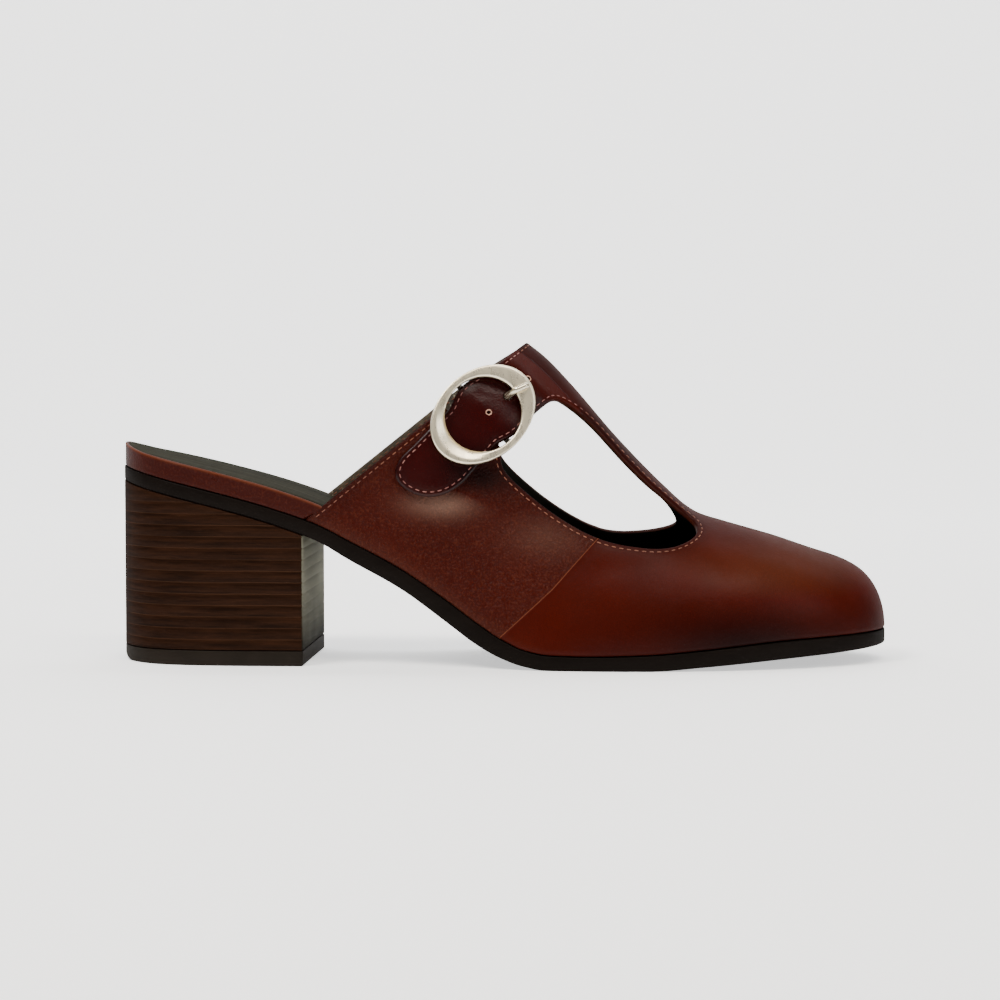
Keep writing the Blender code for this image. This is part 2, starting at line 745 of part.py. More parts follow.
def build_loop():
    """Leather strip folded round the bar, slotted for the prong, its tail under the tab."""
    bend = BAR_RADIUS + GAP + LOOP_WALL / 2
    half_width = 0.0072
    slot = PRONG_RADIUS + 2 * GAP
    tail = -WALL - GAP - LOOP_WALL / 2
    path = [(a, tail - 0.0004 * (a / 0.010) ** 2) for a in (-0.0100, -0.0075, -0.0050, -0.0034)]
    for degrees in range(-115, 181, 15):
        turn = math.radians(degrees)
        path.append((bend * math.cos(turn), BAR_DEPTH + bend * math.sin(turn)))
    path = np.array(path)
    run = np.gradient(path, axis=0)
    run /= np.linalg.norm(run, axis=1, keepdims=True)
    side = np.stack([-run[:, 1], run[:, 0]], axis=1) * LOOP_WALL / 2
    rows = []
    for b, sign in ((-half_width, 1), (half_width, 1), (half_width, -1), (-half_width, -1)):
        edge = path + side * sign
        rows.append(np.stack([edge[:, 0], np.full(len(edge), b), edge[:, 1]], axis=1))
    points = np.stack(rows, axis=1).reshape(-1, 3)
    last = 4 * (len(path) - 1)
    faces = [(0, 1, 2, 3), (last + 3, last + 2, last + 1, last)]
    for i in range(0, last, 4):
        for j in range(4):
            k = (j + 1) % 4
            faces.append((i + j, i + 4 + j, i + 4 + k, i + k))
    loop = add_object("buckle_loop", place(points), faces, LINING)
    weld(loop)

    box = [(a, b, n) for a in (-0.0037, 0.004) for b in (-slot, slot) for n in (-0.005, 0.002)]
    sides = [(0, 1, 3, 2), (4, 6, 7, 5), (0, 4, 5, 1), (2, 3, 7, 6), (0, 2, 6, 4), (1, 5, 7, 3)]
    cutter = add_object("prong_slot", place(box), sides, LINING, smooth=False)
    weld(cutter)
    cut = loop.modifiers.new("slot", "BOOLEAN")
    cut.operation = "DIFFERENCE"
    cut.solver = "EXACT"
    cut.object = cutter
    apply_modifiers(loop)
    bpy.data.objects.remove(cutter)
    return loop


for old in list(bpy.data.objects):
    bpy.data.objects.remove(old)

SHOE = bpy.data.collections.new("heeled_mule")
bpy.context.scene.collection.children.link(SHOE)

LEATHER = make_material("brown_leather", (0.150, 0.030, 0.016), 0.38)
RIM_LEATHER = make_material("rim_leather", (0.170, 0.036, 0.020), 0.42)
SOCK_LEATHER = make_material("sock_leather", (0.045, 0.040, 0.032), 0.60)
LINING = make_material("lining_leather", (0.030, 0.022, 0.018), 0.60)
DARK_EDGE = make_material("sole_edge", (0.018, 0.012, 0.010), 0.40)
STACK = make_material("stacked_heel", (0.060, 0.024, 0.014), 0.45)
RUBBER = make_material("lift_rubber", (0.014, 0.011, 0.010), 0.60)
NICKEL = make_material("nickel", (0.720, 0.690, 0.630), 0.22, 1.0)

build_sole()
build_upper()
build_buckle()
build_prong()
build_loop()
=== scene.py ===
"""Looks of a brown leather heeled mule, dressed over its CAD frame.

Toe at +X, lateral side at -Y, +Z up. Every size is in metres.
A place on the last has a station, 0 at the collar to 10 at the toe and on to 20
back along the medial side, and a share of the way up its column, from the
feather line (0) to the ridge (1).
"""
import math
from contextlib import contextmanager

import bmesh
import bpy
import numpy as np
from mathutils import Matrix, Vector, geometry, kdtree


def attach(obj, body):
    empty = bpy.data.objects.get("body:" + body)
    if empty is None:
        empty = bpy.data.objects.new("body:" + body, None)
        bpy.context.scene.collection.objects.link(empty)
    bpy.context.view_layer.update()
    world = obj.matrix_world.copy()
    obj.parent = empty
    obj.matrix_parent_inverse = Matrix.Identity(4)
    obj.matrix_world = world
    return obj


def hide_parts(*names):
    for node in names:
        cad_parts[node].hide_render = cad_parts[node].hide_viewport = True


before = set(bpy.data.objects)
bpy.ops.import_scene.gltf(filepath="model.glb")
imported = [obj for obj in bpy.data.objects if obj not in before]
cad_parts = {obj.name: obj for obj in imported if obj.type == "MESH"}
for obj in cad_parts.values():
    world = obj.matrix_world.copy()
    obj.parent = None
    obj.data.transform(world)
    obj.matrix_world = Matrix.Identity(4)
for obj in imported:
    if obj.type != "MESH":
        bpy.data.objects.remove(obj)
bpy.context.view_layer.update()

# The shoe's own sizes, as its solids have them
LENGTH = 0.2392
BALL_WIDTH = 0.076
APEX_HEIGHT = 0.0991
SEAT_HEIGHT = 0.0612
WALL = 0.002
HEEL_LENGTH = 0.0592
TOP_PIECE = 0.0046
BOARD_AT_SEAT = 0.0052
BOARD_AT_BALL = 0.0026
SOCK = 0.0008
GAP = 0.0003
WALL_CLEARANCE = 0.0006

STRAP_STATION = 0.55
STRAP_EDGE_STATIONS = (0.10, 0.985)
TIP_EDGE_STATIONS = (0.18, 1.06)
STRAP_TIP_SHARE = 0.186
STRAP_ROOT_SHARE = 0.82
STRAP_ROOT_STATION = 1.53
FLARE_SHARE = 0.66
STRAP_REST = 0.00236
STRAP_OVER_BAR = 0.0032
HOLE_RADIUS = 0.00125
HOLE_SHARES = (0.493, 0.579, 0.697)
TAB_SHARE = 0.435
TAB_STATION = 1.12
MEDIAL_COLLAR_STATIONS = 0.14
MEDIAL_WINDOW_REAR_STATIONS = 0.15
MEDIAL_WINDOW_FRONT_STATIONS = 0.38
MEDIAL_WINDOW_TOP_SHARE = 0.03
BUCKLE_SHARE = 0.487
BUCKLE_LENGTH = 0.0358
BUCKLE_WIDTH = 0.0270
BUCKLE_OPENING = (0.0244, 0.0226)
BUCKLE_CENTRE = (-0.0014, -0.0006)
BUCKLE_UNDERSIDE = 0.0025
BUCKLE_THICKNESS = 0.0024
BUCKLE_TOP = BUCKLE_UNDERSIDE + BUCKLE_THICKNESS
BAR_RADIUS = 0.0009
BAR_DEPTH = -0.0015
PRONG_RADIUS = 0.00075

X_BACK = -LENGTH * 0.5015
HALF_BALL = BALL_WIDTH / 2
TOE_STATION = 10
# The ridge's end at the toe stands this far to the medial side
TOE_OFFSET = 0.105 * HALF_BALL
# Rows of a closed table that are repeated past its ends, for a smooth join
WRAP = 4

# Finishing sizes in metres; those called shares or stations are places on the last
EDGE_RADIUS = 0.0008
HOLE_EDGE_RADIUS = 0.00018
PIN_HOLE_RADIUS = 0.00062
# Width of the painted highlight round the pin holes
PALE_RING = 0.00034
# Swell of the strap's two edges in the buckle: stations, skew and narrowness
REAR_SWELL = (0.16, 0.5, 4)
BAR_SWELL = (0.052, 1.9, 1.5)
TIP_ROUND_SHARE = 0.105
TIP_SQUARENESS = 0.86
THROUGH_SHARE = 0.06
QUARTER_TOP_SHARE = 0.46
STRAP_LEAVE_SHARE = 0.17
BAR_BUMP_SHARE = 0.055
BAND_SHARE = 0.62
BAND_FADE_SHARE = 0.14
FACING_STATIONS = 0.45
FACING_TOP_SHARE = 0.72
RINGS = (0.00010, 0.00028, 0.00055, 0.00085, 0.00140, 0.00200)
FEATHER_RINGS = (0.00012, 0.00035, 0.00080)
HOLE_RINGS = (0.00007, 0.00018, 0.00040, 0.00075)
SURFACE_PITCH = 0.00115
ROW_PITCH = 0.87 * SURFACE_PITCH
EDGE_PITCH = 0.0009
FINE_PITCH = 0.0003
STITCH_INSET = 0.00140
STITCH_PITCH = 0.00230
STITCH_LENGTH = 0.00165
THREAD_RADIUS = 0.00016
STITCH_SINK = 0.00010
SEAM_STEP = 0.00020
SEAM_SHIFTS = (-0.00032, -0.00016, 0.0, 0.00016, 0.00032)
BACK_LIP = 0.0012
BACK_LIP_SHARE = 0.045
THINNING_SHARES = (0.30, 0.25)
CAP_COLUMNS = 6
EDGE_DYE_RUN = 0.0022
HEEL_LAYER = 0.0035
HEEL_SKEW = 0.0015
BUCKLE_DISH = 0.0010
BAND_COLOUR = (0.034, 0.0024, 0.0005)
PRONG_SWELL = 1.45
HEEL_CORNER = 0.0010
GROOVE_HALF_WIDTH = 0.00016
GROOVE_DEPTH = 0.00006
# Points of a side line, from the back, in which the breast's width is looked up
REAR_POINTS = 200
BREAST_FACING = 0.75
# Run of the painted shade on the heel's rounded rear
HEEL_REAR_SHADE_RUN = 0.006
LIFT_WEAR = 0.0022
LIFT_WEAR_RUN = 0.005
FRAME_RINGS = 220
ROD_SIDES = 20
THREAD_SIDES = 7
# Rings of one stitch: share of its length, width and rise as shares of its radius
THREAD_RINGS = (
    (0.00, 0.15, -1.6), (0.10, 0.75, -0.4), (0.28, 1.00, 0.45),
    (0.72, 1.00, 0.45), (0.90, 0.75, -0.4), (1.00, 0.15, -1.6),
)
# Painted shade and painted highlights: x and z of a place, its run and rise, and how
# much darker it is painted; below zero it is a painted highlight. It fades over the ridge
# to the medial side.
SHADE_AND_SHEEN_PLACES = (
    (0.074, 0.007, 0.036, 0.013, 1.00),
    (0.086, 0.030, 0.030, 0.009, -0.80),
    (0.119, 0.012, 0.010, 0.016, 0.35),
    (0.052, 0.022, 0.012, 0.008, 0.20),
    # Painted shadow below the buckle
    (-0.006, 0.058, 0.010, 0.006, 1.00),
    (0.014, 0.093, 0.016, 0.010, 0.60),
    (0.034, 0.072, 0.018, 0.016, 0.60),
    # Painted highlight below the strap's tip
    (-0.018, 0.050, 0.010, 0.004, -1.00),
    (0.014, 0.040, 0.012, 0.006, -0.24),
    (0.130, 0.030, 0.008, 0.006, -0.55),
)
SHADE_AND_SHEEN_FADE = 0.92
MEDIAL_SHADE_AND_SHEEN_RUN = 0.016
# Painted floor light: a lighter band low on the rear of the quarters
FLOOR_LIGHT_BAND = 0.0035
FLOOR_LIGHT = 0.1
FLOOR_LIGHT_END = 0.030
FLOOR_LIGHT_FADE = 0.02

CAMERA_LENS = 100.8
CAMERA_SENSOR = 36.0
CAMERA_SPOT = (0.0292, -0.8758, 0.0986)
CAMERA_AIM = (-0.0014, 0.0, 0.0496)
ROOM_LIGHT = 0.28
# Lamps: name, place, target, size, watts, colour
LAMPS = (
    ("key", (-0.50, -0.50, 0.95), (0.0, 0.0, 0.04), (0.40, 0.40), 12.0, (1.0, 0.96, 0.90)),
    ("front", (0.25, -0.60, 1.00), (0.05, 0.0, 0.03), (0.7, 0.4), 8.0, (1.0, 0.93, 0.83)),
    ("right", (0.95, -0.60, 0.55), (0.05, 0.0, 0.03), (0.5, 0.5), 3.0, (1.0, 1.0, 1.0)),
    ("back_wall", (0.0, 0.45, 1.2), (0.0, 1.2, 0.5), (2.4, 0.6), 24.0, (1.0, 1.0, 1.0)),
)

# Outline of the sole: share of LENGTH from the back, lateral and medial half-width
# as shares of half the ball width. The first row is the back, the last the toe.
REAR_ROWS = (
    (0.003, 0.000, 0.000),
    (0.015, 0.300, 0.300),
    (0.048, 0.540, 0.550),
    (0.100, 0.660, 0.680),
    (0.171, 0.700, 0.710),
)
# The same three columns, then what belongs to the last: share of LENGTH of the
# column's top, lean of the column as a share of LENGTH, fullness of its shoulder.
# The first row stands behind the collar, the second at station 0.
LAST_ROWS = (
    (0.159, 0.700, 0.710, 0.474, 0.316, 2.30),
    (0.251, 0.710, 0.697, 0.530, 0.279, 2.30),
    (0.343, 0.724, 0.645, 0.585, 0.242, 2.30),
    (0.435, 0.776, 0.671, 0.640, 0.205, 2.20),
    (0.527, 0.921, 0.816, 0.696, 0.169, 2.20),
    (0.619, 1.000, 0.960, 0.753, 0.125, 2.20),
    (0.711, 0.987, 1.000, 0.799, 0.079, 2.20),
    (0.803, 0.908, 0.947, 0.840, 0.038, 2.35),
    (0.886, 0.737, 0.829, 0.874, 0.013, 2.60),
    (0.949, 0.500, 0.658, 0.895, 0.000, 2.90),
    (0.987, 0.224, 0.421, 0.908, 0.000, 3.10),
    (1.000, -0.105, 0.105, 0.912, 0.000, 3.20),
)

# Side profile of the sole: share of LENGTH, height of its top and of its bottom
# edge as shares of SEAT_HEIGHT.
PROFILE_ROWS = (
    (0.000, 1.000, 0.926),
    (0.259, 0.722, 0.640),
    (0.309, 0.625, 0.530),
    (0.373, 0.491, 0.391),
    (0.437, 0.322, 0.212),
    (0.468, 0.234, 0.125),
    (0.501, 0.152, 0.056),
    (0.530, 0.101, 0.018),
    (0.560, 0.078, 0.000),
    (0.610, 0.074, 0.000),
    (0.690, 0.082, 0.000),
    (0.755, 0.103, 0.018),
    (0.870, 0.146, 0.055),
    (0.960, 0.160, 0.078),
    (1.000, 0.164, 0.090),
)

# Ridge of the last: share of LENGTH, height as a share of APEX_HEIGHT.
RIDGE_ROWS = (
    (0.470, 1.110),
    (0.530, 1.000),
    (0.555, 0.952),
    (0.587, 0.872),
    (0.649, 0.699),
    (0.711, 0.546),
    (0.740, 0.484),
    (0.757, 0.460),
    (0.789, 0.436),
    (0.853, 0.391),
    (0.915, 0.341),
    (0.960, 0.313),
    (1.000, 0.300),
)

# Edge of a side window, in stations and shares, once round from its rear corner.
WINDOW_ROWS = (
    (1.05, 0.700),
    (1.04, 0.580),
    (1.07, 0.460),
    (1.28, 0.394),
    (1.70, 0.384),
    (2.20, 0.394),
    (2.80, 0.424),
    (3.35, 0.469),
    (3.85, 0.527),
    (4.16, 0.600),
    (4.29, 0.700),
    (4.10, 0.806),
    (3.70, 0.856),
    (3.10, 0.845),
    (2.40, 0.843),
    (1.90, 0.846),
    (1.50, 0.815),
    (1.22, 0.768),
)

# Seam between quarter and vamp, in stations and shares, from the feather line up.
SEAM_ROWS = (
    (2.700, 0.000),
    (2.780, 0.125),
    (2.830, 0.204),
    (2.850, 0.292),
    (2.880, 0.400),
    (2.890, 0.440),
)


# The last and its edges

def smooth(value):
    """Soft step from 0 to 1 over the values from 0 to 1."""
    value = np.clip(value, 0, 1)
    return value * value * (3 - 2 * value)


def unit(vectors):
    """Vectors brought to length 1."""
    return vectors / np.linalg.norm(vectors, axis=-1, keepdims=True)


def spline(position, rows):
    """Natural cubic through rows that stand one apart."""
    rows = np.asarray(rows, float)
    last = len(rows) - 1
    system = np.eye(last + 1)
    right = np.zeros_like(rows)
    for i in range(1, last):
        system[i, i - 1:i + 2] = (1, 4, 1)
        right[i] = 6 * (rows[i - 1] - 2 * rows[i] + rows[i + 1])
    bend = np.linalg.solve(system, right)
    position = np.clip(np.asarray(position, float), 0, last)
    low = np.minimum(position.astype(int), last - 1)
    after = (position - low)[:, None]
    before = 1 - after
    straight = before * rows[low] + after * rows[low + 1]
    curved = (before ** 3 - before) * bend[low] + (after ** 3 - after) * bend[low + 1]
    return straight + curved / 6


def profile(x, rows, column):
    """Smooth curve through a table's rows that keeps their rises and falls."""
    rows = np.asarray(rows, float)
    at, value = rows[:, 0], rows[:, column]
    step = np.diff(at)
    slope = np.diff(value) / step
    tangent = np.zeros(len(at))
    tangent[0], tangent[-1] = slope[0], slope[-1]
    for i in range(1, len(at) - 1):
        if slope[i - 1] * slope[i] > 0:
            a = 2 * step[i] + step[i - 1]
            b = step[i] + 2 * step[i - 1]
            tangent[i] = (a + b) / (a / slope[i - 1] + b / slope[i])
    share = (np.asarray(x, float) - X_BACK) / LENGTH
    i = np.clip(np.searchsorted(at, share) - 1, 0, len(at) - 2)
    t = (share - at[i]) / step[i]
    return (
        (1 + 2 * t) * (1 - t) ** 2 * value[i]
        + t * (1 - t) ** 2 * step[i] * tangent[i]
        + t * t * (3 - 2 * t) * value[i + 1]
        + t * t * (t - 1) * step[i] * tangent[i + 1]
    )


def sole_top(x):
    return profile(x, PROFILE_ROWS, 1) * SEAT_HEIGHT


def sole_bottom(x):
    return profile(x, PROFILE_ROWS, 2) * SEAT_HEIGHT


def outline_rows(rows):
    """Rows of (x, y) along the lateral side to the toe and back on the medial side."""
    lateral = [(X_BACK + r[0] * LENGTH, -r[1] * HALF_BALL) for r in rows]
    medial = [(X_BACK + r[0] * LENGTH, r[2] * HALF_BALL) for r in rows]
    return np.array(lateral + medial[-2::-1])


FEATHER_LOOP = outline_rows(LAST_ROWS)
COLUMN_LOOP = np.array(
    [r[3:] for r in LAST_ROWS] + [r[3:] for r in LAST_ROWS[-2::-1]]
)


def last_point(station, share):
    """Point of the last; stations past the toe run back along the medial side."""
    station, share = np.broadcast_arrays(
        np.asarray(station, float), np.asarray(share, float)
    )
    shape = station.shape
    station, share = station.ravel(), share.ravel()
    foot = spline(station + 1, FEATHER_LOOP)
    top, lean, fullness = spline(station + 1, COLUMN_LOOP).T
    top_x = X_BACK + top * LENGTH
    lean = lean * LENGTH
    top_y = TOE_OFFSET * np.minimum(station, 2 * TOE_STATION - station) / TOE_STATION
    angle = np.clip(share, 0, 1) * math.pi / 2
    width = np.clip(np.cos(angle), 0, 1) ** (2 / fullness)
    rise = np.sin(angle)
    level_x = top_x + (foot[:, 0] - top_x + lean) * width
    ridge_x = np.maximum(level_x, X_BACK + RIDGE_ROWS[0][0] * LENGTH)
    ridge = profile(ridge_x, RIDGE_ROWS, 1) * APEX_HEIGHT
    base = sole_top(foot[:, 0])
    points = np.stack([
        level_x - lean * (1 - rise),
        top_y + (foot[:, 1] - top_y) * width,
        base + (ridge - base) * rise,
    ], axis=1)
    return points.reshape(shape + (3,))


def last_slopes(station, share):
    """Change of the last's point per station and per share."""
    step = 1e-3
    station = np.asarray(station, float)
    share = np.clip(np.asarray(share, float), 0.003, 0.997)
    along = last_point(station + step, share) - last_point(station - step, share)
    up = last_point(station, share + step) - last_point(station, share - step)
    return along / (2 * step), up / (2 * step)


def last_normal(station, share):
    """Outward normal of the last."""
    return unit(np.cross(*last_slopes(station, share)))


def off_last(station, share, offset):
    offset = np.asarray(offset, float)[..., None]
    return last_point(station, share) + last_normal(station, share) * offset


def strap_offset(share):
    """Height of the free strap end's outer face over the last."""
    share = np.asarray(share, float)
    leave = smooth((STRAP_ROOT_SHARE - share) / STRAP_LEAVE_SHARE)
    over_bar = np.exp(-((share - BUCKLE_SHARE) / BAR_BUMP_SHARE) ** 2)
    return STRAP_REST * leave + (STRAP_OVER_BAR - STRAP_REST) * over_bar


def closed_curve(rows):
    """Even points of a closed smooth curve through rows, spaced EDGE_PITCH on the last."""
    rows = np.asarray(rows, float)
    wrapped = np.concatenate([rows[-WRAP:], rows, rows[:WRAP]])
    fine = spline(np.linspace(WRAP, WRAP + len(rows), 2000), wrapped)
    return even(fine, EDGE_PITCH)[:-1]


def run_along(spots):
    """Distance along a path of points, from its start to each of them."""
    return np.concatenate([[0], np.cumsum(np.linalg.norm(np.diff(spots, axis=0), axis=1))])


def even(path, pitch):
    """A path of stations and shares cut into equal steps of about one pitch on the last."""
    path = np.asarray(path, float)
    run = run_along(last_point(*path.T))
    stops = np.linspace(0, run[-1], max(2, round(run[-1] / pitch)) + 1)
    return np.stack([np.interp(stops, run, path[:, i]) for i in (0, 1)], axis=1)


def line(start, end):
    """Even points from start up to, but without, end."""
    t = np.linspace(0, 1, 60)[:, None]
    return even(np.array(start) * (1 - t) + np.array(end) * t, EDGE_PITCH)[:-1]


def sideways(path, distance):
    """A path moved over the last by a distance, to its left as seen from outside."""
    path = np.asarray(path, float)
    run = np.gradient(last_point(*path.T), axis=0)
    side = unit(np.cross(last_normal(*path.T), run))
    along, up = last_slopes(*path.T)
    a, b, c = (along * along).sum(1), (along * up).sum(1), (up * up).sum(1)
    p, q = (side * along).sum(1), (side * up).sum(1)
    size = a * c - b * b
    return path + distance * np.stack([(c * p - b * q) / size, (a * q - b * p) / size], axis=1)


# Meshing a region of the last

STATION_RUN = 0.020
LEAN_RUN = 0.050
COLUMN_RUN = 0.077


def to_plane(flat):
    """Stations and shares laid out in metres, close to true size."""
    station, share = flat[:, 0], flat[:, 1]
    x = STATION_RUN * station + LEAN_RUN * share * (1 - station / TOE_STATION)
    return np.stack([x, COLUMN_RUN * share], axis=1)


def from_plane(plane):
    share = plane[:, 1] / COLUMN_RUN
    pace = STATION_RUN - LEAN_RUN / TOE_STATION * share
    return np.stack([(plane[:, 0] - LEAN_RUN * share) / pace, share], axis=1)


def inside(points, loop):
    """Which points lie inside a closed loop."""
    result = np.zeros(len(points), bool)
    for a, b in zip(loop, np.roll(loop, -1, axis=0)):
        crosses = (a[1] > points[:, 1]) != (b[1] > points[:, 1])
        rise = b[1] - a[1] if b[1] != a[1] else 1e-12
        at = a[0] + (points[:, 1] - a[1]) * (b[0] - a[0]) / rise
        result ^= crosses & (points[:, 0] < at)
    return result


def tree_of(points):
    tree = kdtree.KDTree(len(points))
    for i, point in enumerate(points):
        tree.insert(Vector(point), i)
    tree.balance()
    return tree


def reach(points, targets):
    """Distance of each point to the nearest target."""
    tree = tree_of(targets)
    return np.array([tree.find(Vector(p))[2] for p in points])


def plane_gap(flat, others):
    """Distance of each place to the nearest of the others, laid out flat."""
    return reach(*(np.pad(to_plane(places), ((0, 0), (0, 1))) for places in (flat, others)))


def mesh_region(border, holes, edge_rings, seams):
    """Triangles over a region of stations and shares, with rings of points along free edges."""
    loops = [border] + holes
    plane_loops = [to_plane(loop) for loop in loops]

    def kept(plane):
        keep = inside(plane, plane_loops[0])
        for loop in plane_loops[1:]:
            keep &= ~inside(plane, loop)
        return keep

    def within(flat):
        return flat[kept(to_plane(flat))]

    edge_spots = np.concatenate([last_point(*path.T) for path, _ in edge_rings])
    rings = []
    for path, distances in edge_rings:
        for distance in distances:
            for way in (-1, 1):
                ring = within(sideways(path, way * distance))
                if len(ring):
                    room = reach(last_point(*ring.T), edge_spots)
                    rings.append(ring[room > 0.9 * distance])
    seam_lines = [within(seam) for seam in seams]
    fixed = np.concatenate(loops + seam_lines)
    for ring in rings:
        fixed = np.concatenate([fixed, ring[plane_gap(ring, fixed) > 0.00005]])

    low, high = plane_loops[0].min(axis=0), plane_loops[0].max(axis=0)
    columns = np.arange(low[0], high[0], SURFACE_PITCH)
    levels = np.arange(low[1], high[1], ROW_PITCH)
    grid = np.stack(np.meshgrid(columns, levels, indexing="ij"), axis=-1)
    grid[:, 1::2, 0] += SURFACE_PITCH / 2
    grid = within(from_plane(grid.reshape(-1, 2)))
    grid = grid[plane_gap(grid, fixed) > 0.6 * SURFACE_PITCH]

    plane = to_plane(np.concatenate([fixed, grid]))
    edges, first = [], 0
    for path, closed in [(loop, True) for loop in loops] + [(seam, False) for seam in seam_lines]:
        places = list(range(first, first + len(path)))
        edges += zip(places, places[1:] + (places[:1] if closed else []))
        first += len(path)
    found = geometry.delaunay_2d_cdt([Vector(p) for p in plane], edges, [], 0, 1e-9)
    plane = np.array([tuple(v) for v in found[0]])
    faces = np.array([tuple(f) for f in found[2]])
    return from_plane(plane), faces[kept(plane[faces].mean(axis=1))]


def medial_window_edge():
    """The medial window stands a little further back and ends lower at the T-bar."""
    rows = np.array(WINDOW_ROWS)
    rear = np.clip((1.6 - rows[:, 0]) / 0.5, 0, 1)
    front = np.clip(rows[:, 0] - 3.0, 0, 1)
    top = np.clip((rows[:, 1] - 0.66) / 0.12, 0, 1)
    rows[:, 0] -= MEDIAL_WINDOW_REAR_STATIONS * rear + MEDIAL_WINDOW_FRONT_STATIONS * front
    rows[:, 1] -= MEDIAL_WINDOW_TOP_SHARE * top
    return closed_curve(rows)


def nearest_on(loop, station, share):
    target = to_plane(np.array([(station, share)]))
    return int(np.argmin(np.linalg.norm(to_plane(loop) - target, axis=1)))


def medial_collar(share):
    """Station of the medial collar, which stands a little behind the lateral one."""
    return -MEDIAL_COLLAR_STATIONS * (1 - smooth((np.asarray(share, float) - 0.45) / 0.45))


def hole_loop(share, radius):
    """Round pin hole on the strap's centre line."""
    along, up = last_slopes(STRAP_STATION, share)
    turn = np.arange(28) * 2 * math.pi / 28
    return np.stack([
        STRAP_STATION + radius / np.linalg.norm(along) * np.cos(turn),
        share + radius / np.linalg.norm(up) * np.sin(turn),
    ], axis=1)


def looped(path):
    return np.concatenate([path, path[:1]])


def arc(loop, start, end, step):
    """Points of a closed loop from one index to another, both taken in."""
    count = ((end - start) * step) % len(loop)
    return loop[[(start + step * i) % len(loop) for i in range(count + 1)]]


def instep_edge(window):
    """The window's edge from the strap's root, round the T-bar and vamp, to the tab."""
    root = nearest_on(window, STRAP_ROOT_STATION, STRAP_ROOT_SHARE)
    return arc(window, root, nearest_on(window, TAB_STATION, TAB_SHARE), -1)


def quarter_shape(window):
    """Border and free edges of the lateral half."""
    around = instep_edge(window)
    base = line((0, 0), (TOE_STATION, 0))
    nose = line((TOE_STATION, 0), (TOE_STATION, 1))
    ridge = line((TOE_STATION, 1), (0, 1))
    band_collar = line((0, 1), (0, STRAP_ROOT_SHARE))
    strap_root = line((0, STRAP_ROOT_SHARE), around[0])
    tab_line = line(around[-1], (0, TAB_SHARE))
    collar = line((0, TAB_SHARE), (0, 0))
    border = np.concatenate(
        [base, nose, ridge, band_collar, strap_root, around[:-1], tab_line, collar])
    free = [
        np.concatenate([band_collar, [(0, STRAP_ROOT_SHARE)]]),
        around,
        np.concatenate([tab_line, [(0, TAB_SHARE)]]),
        np.concatenate([collar, [(0, 0)]]),
    ]
    return border, free, [base]


def medial_shape():
    """Border, without its window, and free edges of the medial half."""
    base = line((-MEDIAL_COLLAR_STATIONS, 0), (TOE_STATION, 0))
    base = np.concatenate([base[base[:, 0] < -0.02], line((0, 0), (TOE_STATION, 0))])
    nose = line((TOE_STATION, 0), (TOE_STATION, 1))
    ridge = line((TOE_STATION, 1), (0, 1))
    shares = np.linspace(1, 0, 400)
    collar = even(np.stack([medial_collar(shares), shares], axis=1), EDGE_PITCH)
    return np.concatenate([base, nose, ridge, collar[:-1]]), [collar], [base]


def bulge(count, size, skew, narrowness):
    """Soft bump along a run of points; skew moves its top towards the start or end."""
    run = np.linspace(0, 1, count)
    return size * np.sin(math.pi * run ** skew) ** narrowness


def strap_shape(window):
    """Border and free edge of the free strap end."""
    root = nearest_on(window, STRAP_ROOT_STATION, STRAP_ROOT_SHARE)
    rear = nearest_on(window, STRAP_EDGE_STATIONS[1] + 0.02, FLARE_SHARE)
    flare = arc(window, root, rear, 1)
    low, high = TIP_EDGE_STATIONS
    half = (high - low) / 2
    centre = (high + low) / 2
    rear_edge, front_edge = STRAP_EDGE_STATIONS
    shoulder = STRAP_TIP_SHARE + TIP_ROUND_SHARE
    through = BUCKLE_SHARE - THROUGH_SHARE
    run = np.linspace(0, 1, 80)
    swollen = np.stack([
        rear_edge * (1 - smooth(run)) - bulge(80, *REAR_SWELL),
        through + (STRAP_ROOT_SHARE - through) * run,
    ], axis=1)
    bar_side = line(flare[-1], (front_edge, through))
    bar_side[:, 0] += bulge(len(bar_side), *BAR_SWELL)
    turn = np.linspace(0, math.pi, 80)
    tip = np.stack([
        centre + half * np.sign(np.cos(turn)) * np.abs(np.cos(turn)) ** TIP_SQUARENESS,
        shoulder - TIP_ROUND_SHARE * np.sin(turn) ** TIP_SQUARENESS,
    ], axis=1)
    outer = np.concatenate([
        bar_side,
        line((front_edge, through), (high, shoulder)),
        even(tip, EDGE_PITCH)[:-1],
        line((low, shoulder), (rear_edge, through)),
        swollen[:-1],
    ])
    strap_root = line((0, STRAP_ROOT_SHARE), window[root])
    border = np.concatenate([outer, strap_root, flare[:-1]])
    edge = np.concatenate([flare[:-1], outer, [(0, STRAP_ROOT_SHARE)]])
    return border, [edge]


def seam_path(shift):
    """The quarter's front edge, moved forward by a distance."""
    rows = spline(np.linspace(0, len(SEAM_ROWS) - 1, 200), SEAM_ROWS)
    return sideways(even(rows, EDGE_PITCH), -shift)


def facing_path(medial):
    """Front edge of the bare facing inside the collar."""
    shares = np.linspace(0.0, FACING_TOP_SHARE, 200)
    behind = medial_collar(shares) if medial else 0 * shares
    return even(np.stack([FACING_STATIONS + behind, shares], axis=1), EDGE_PITCH)


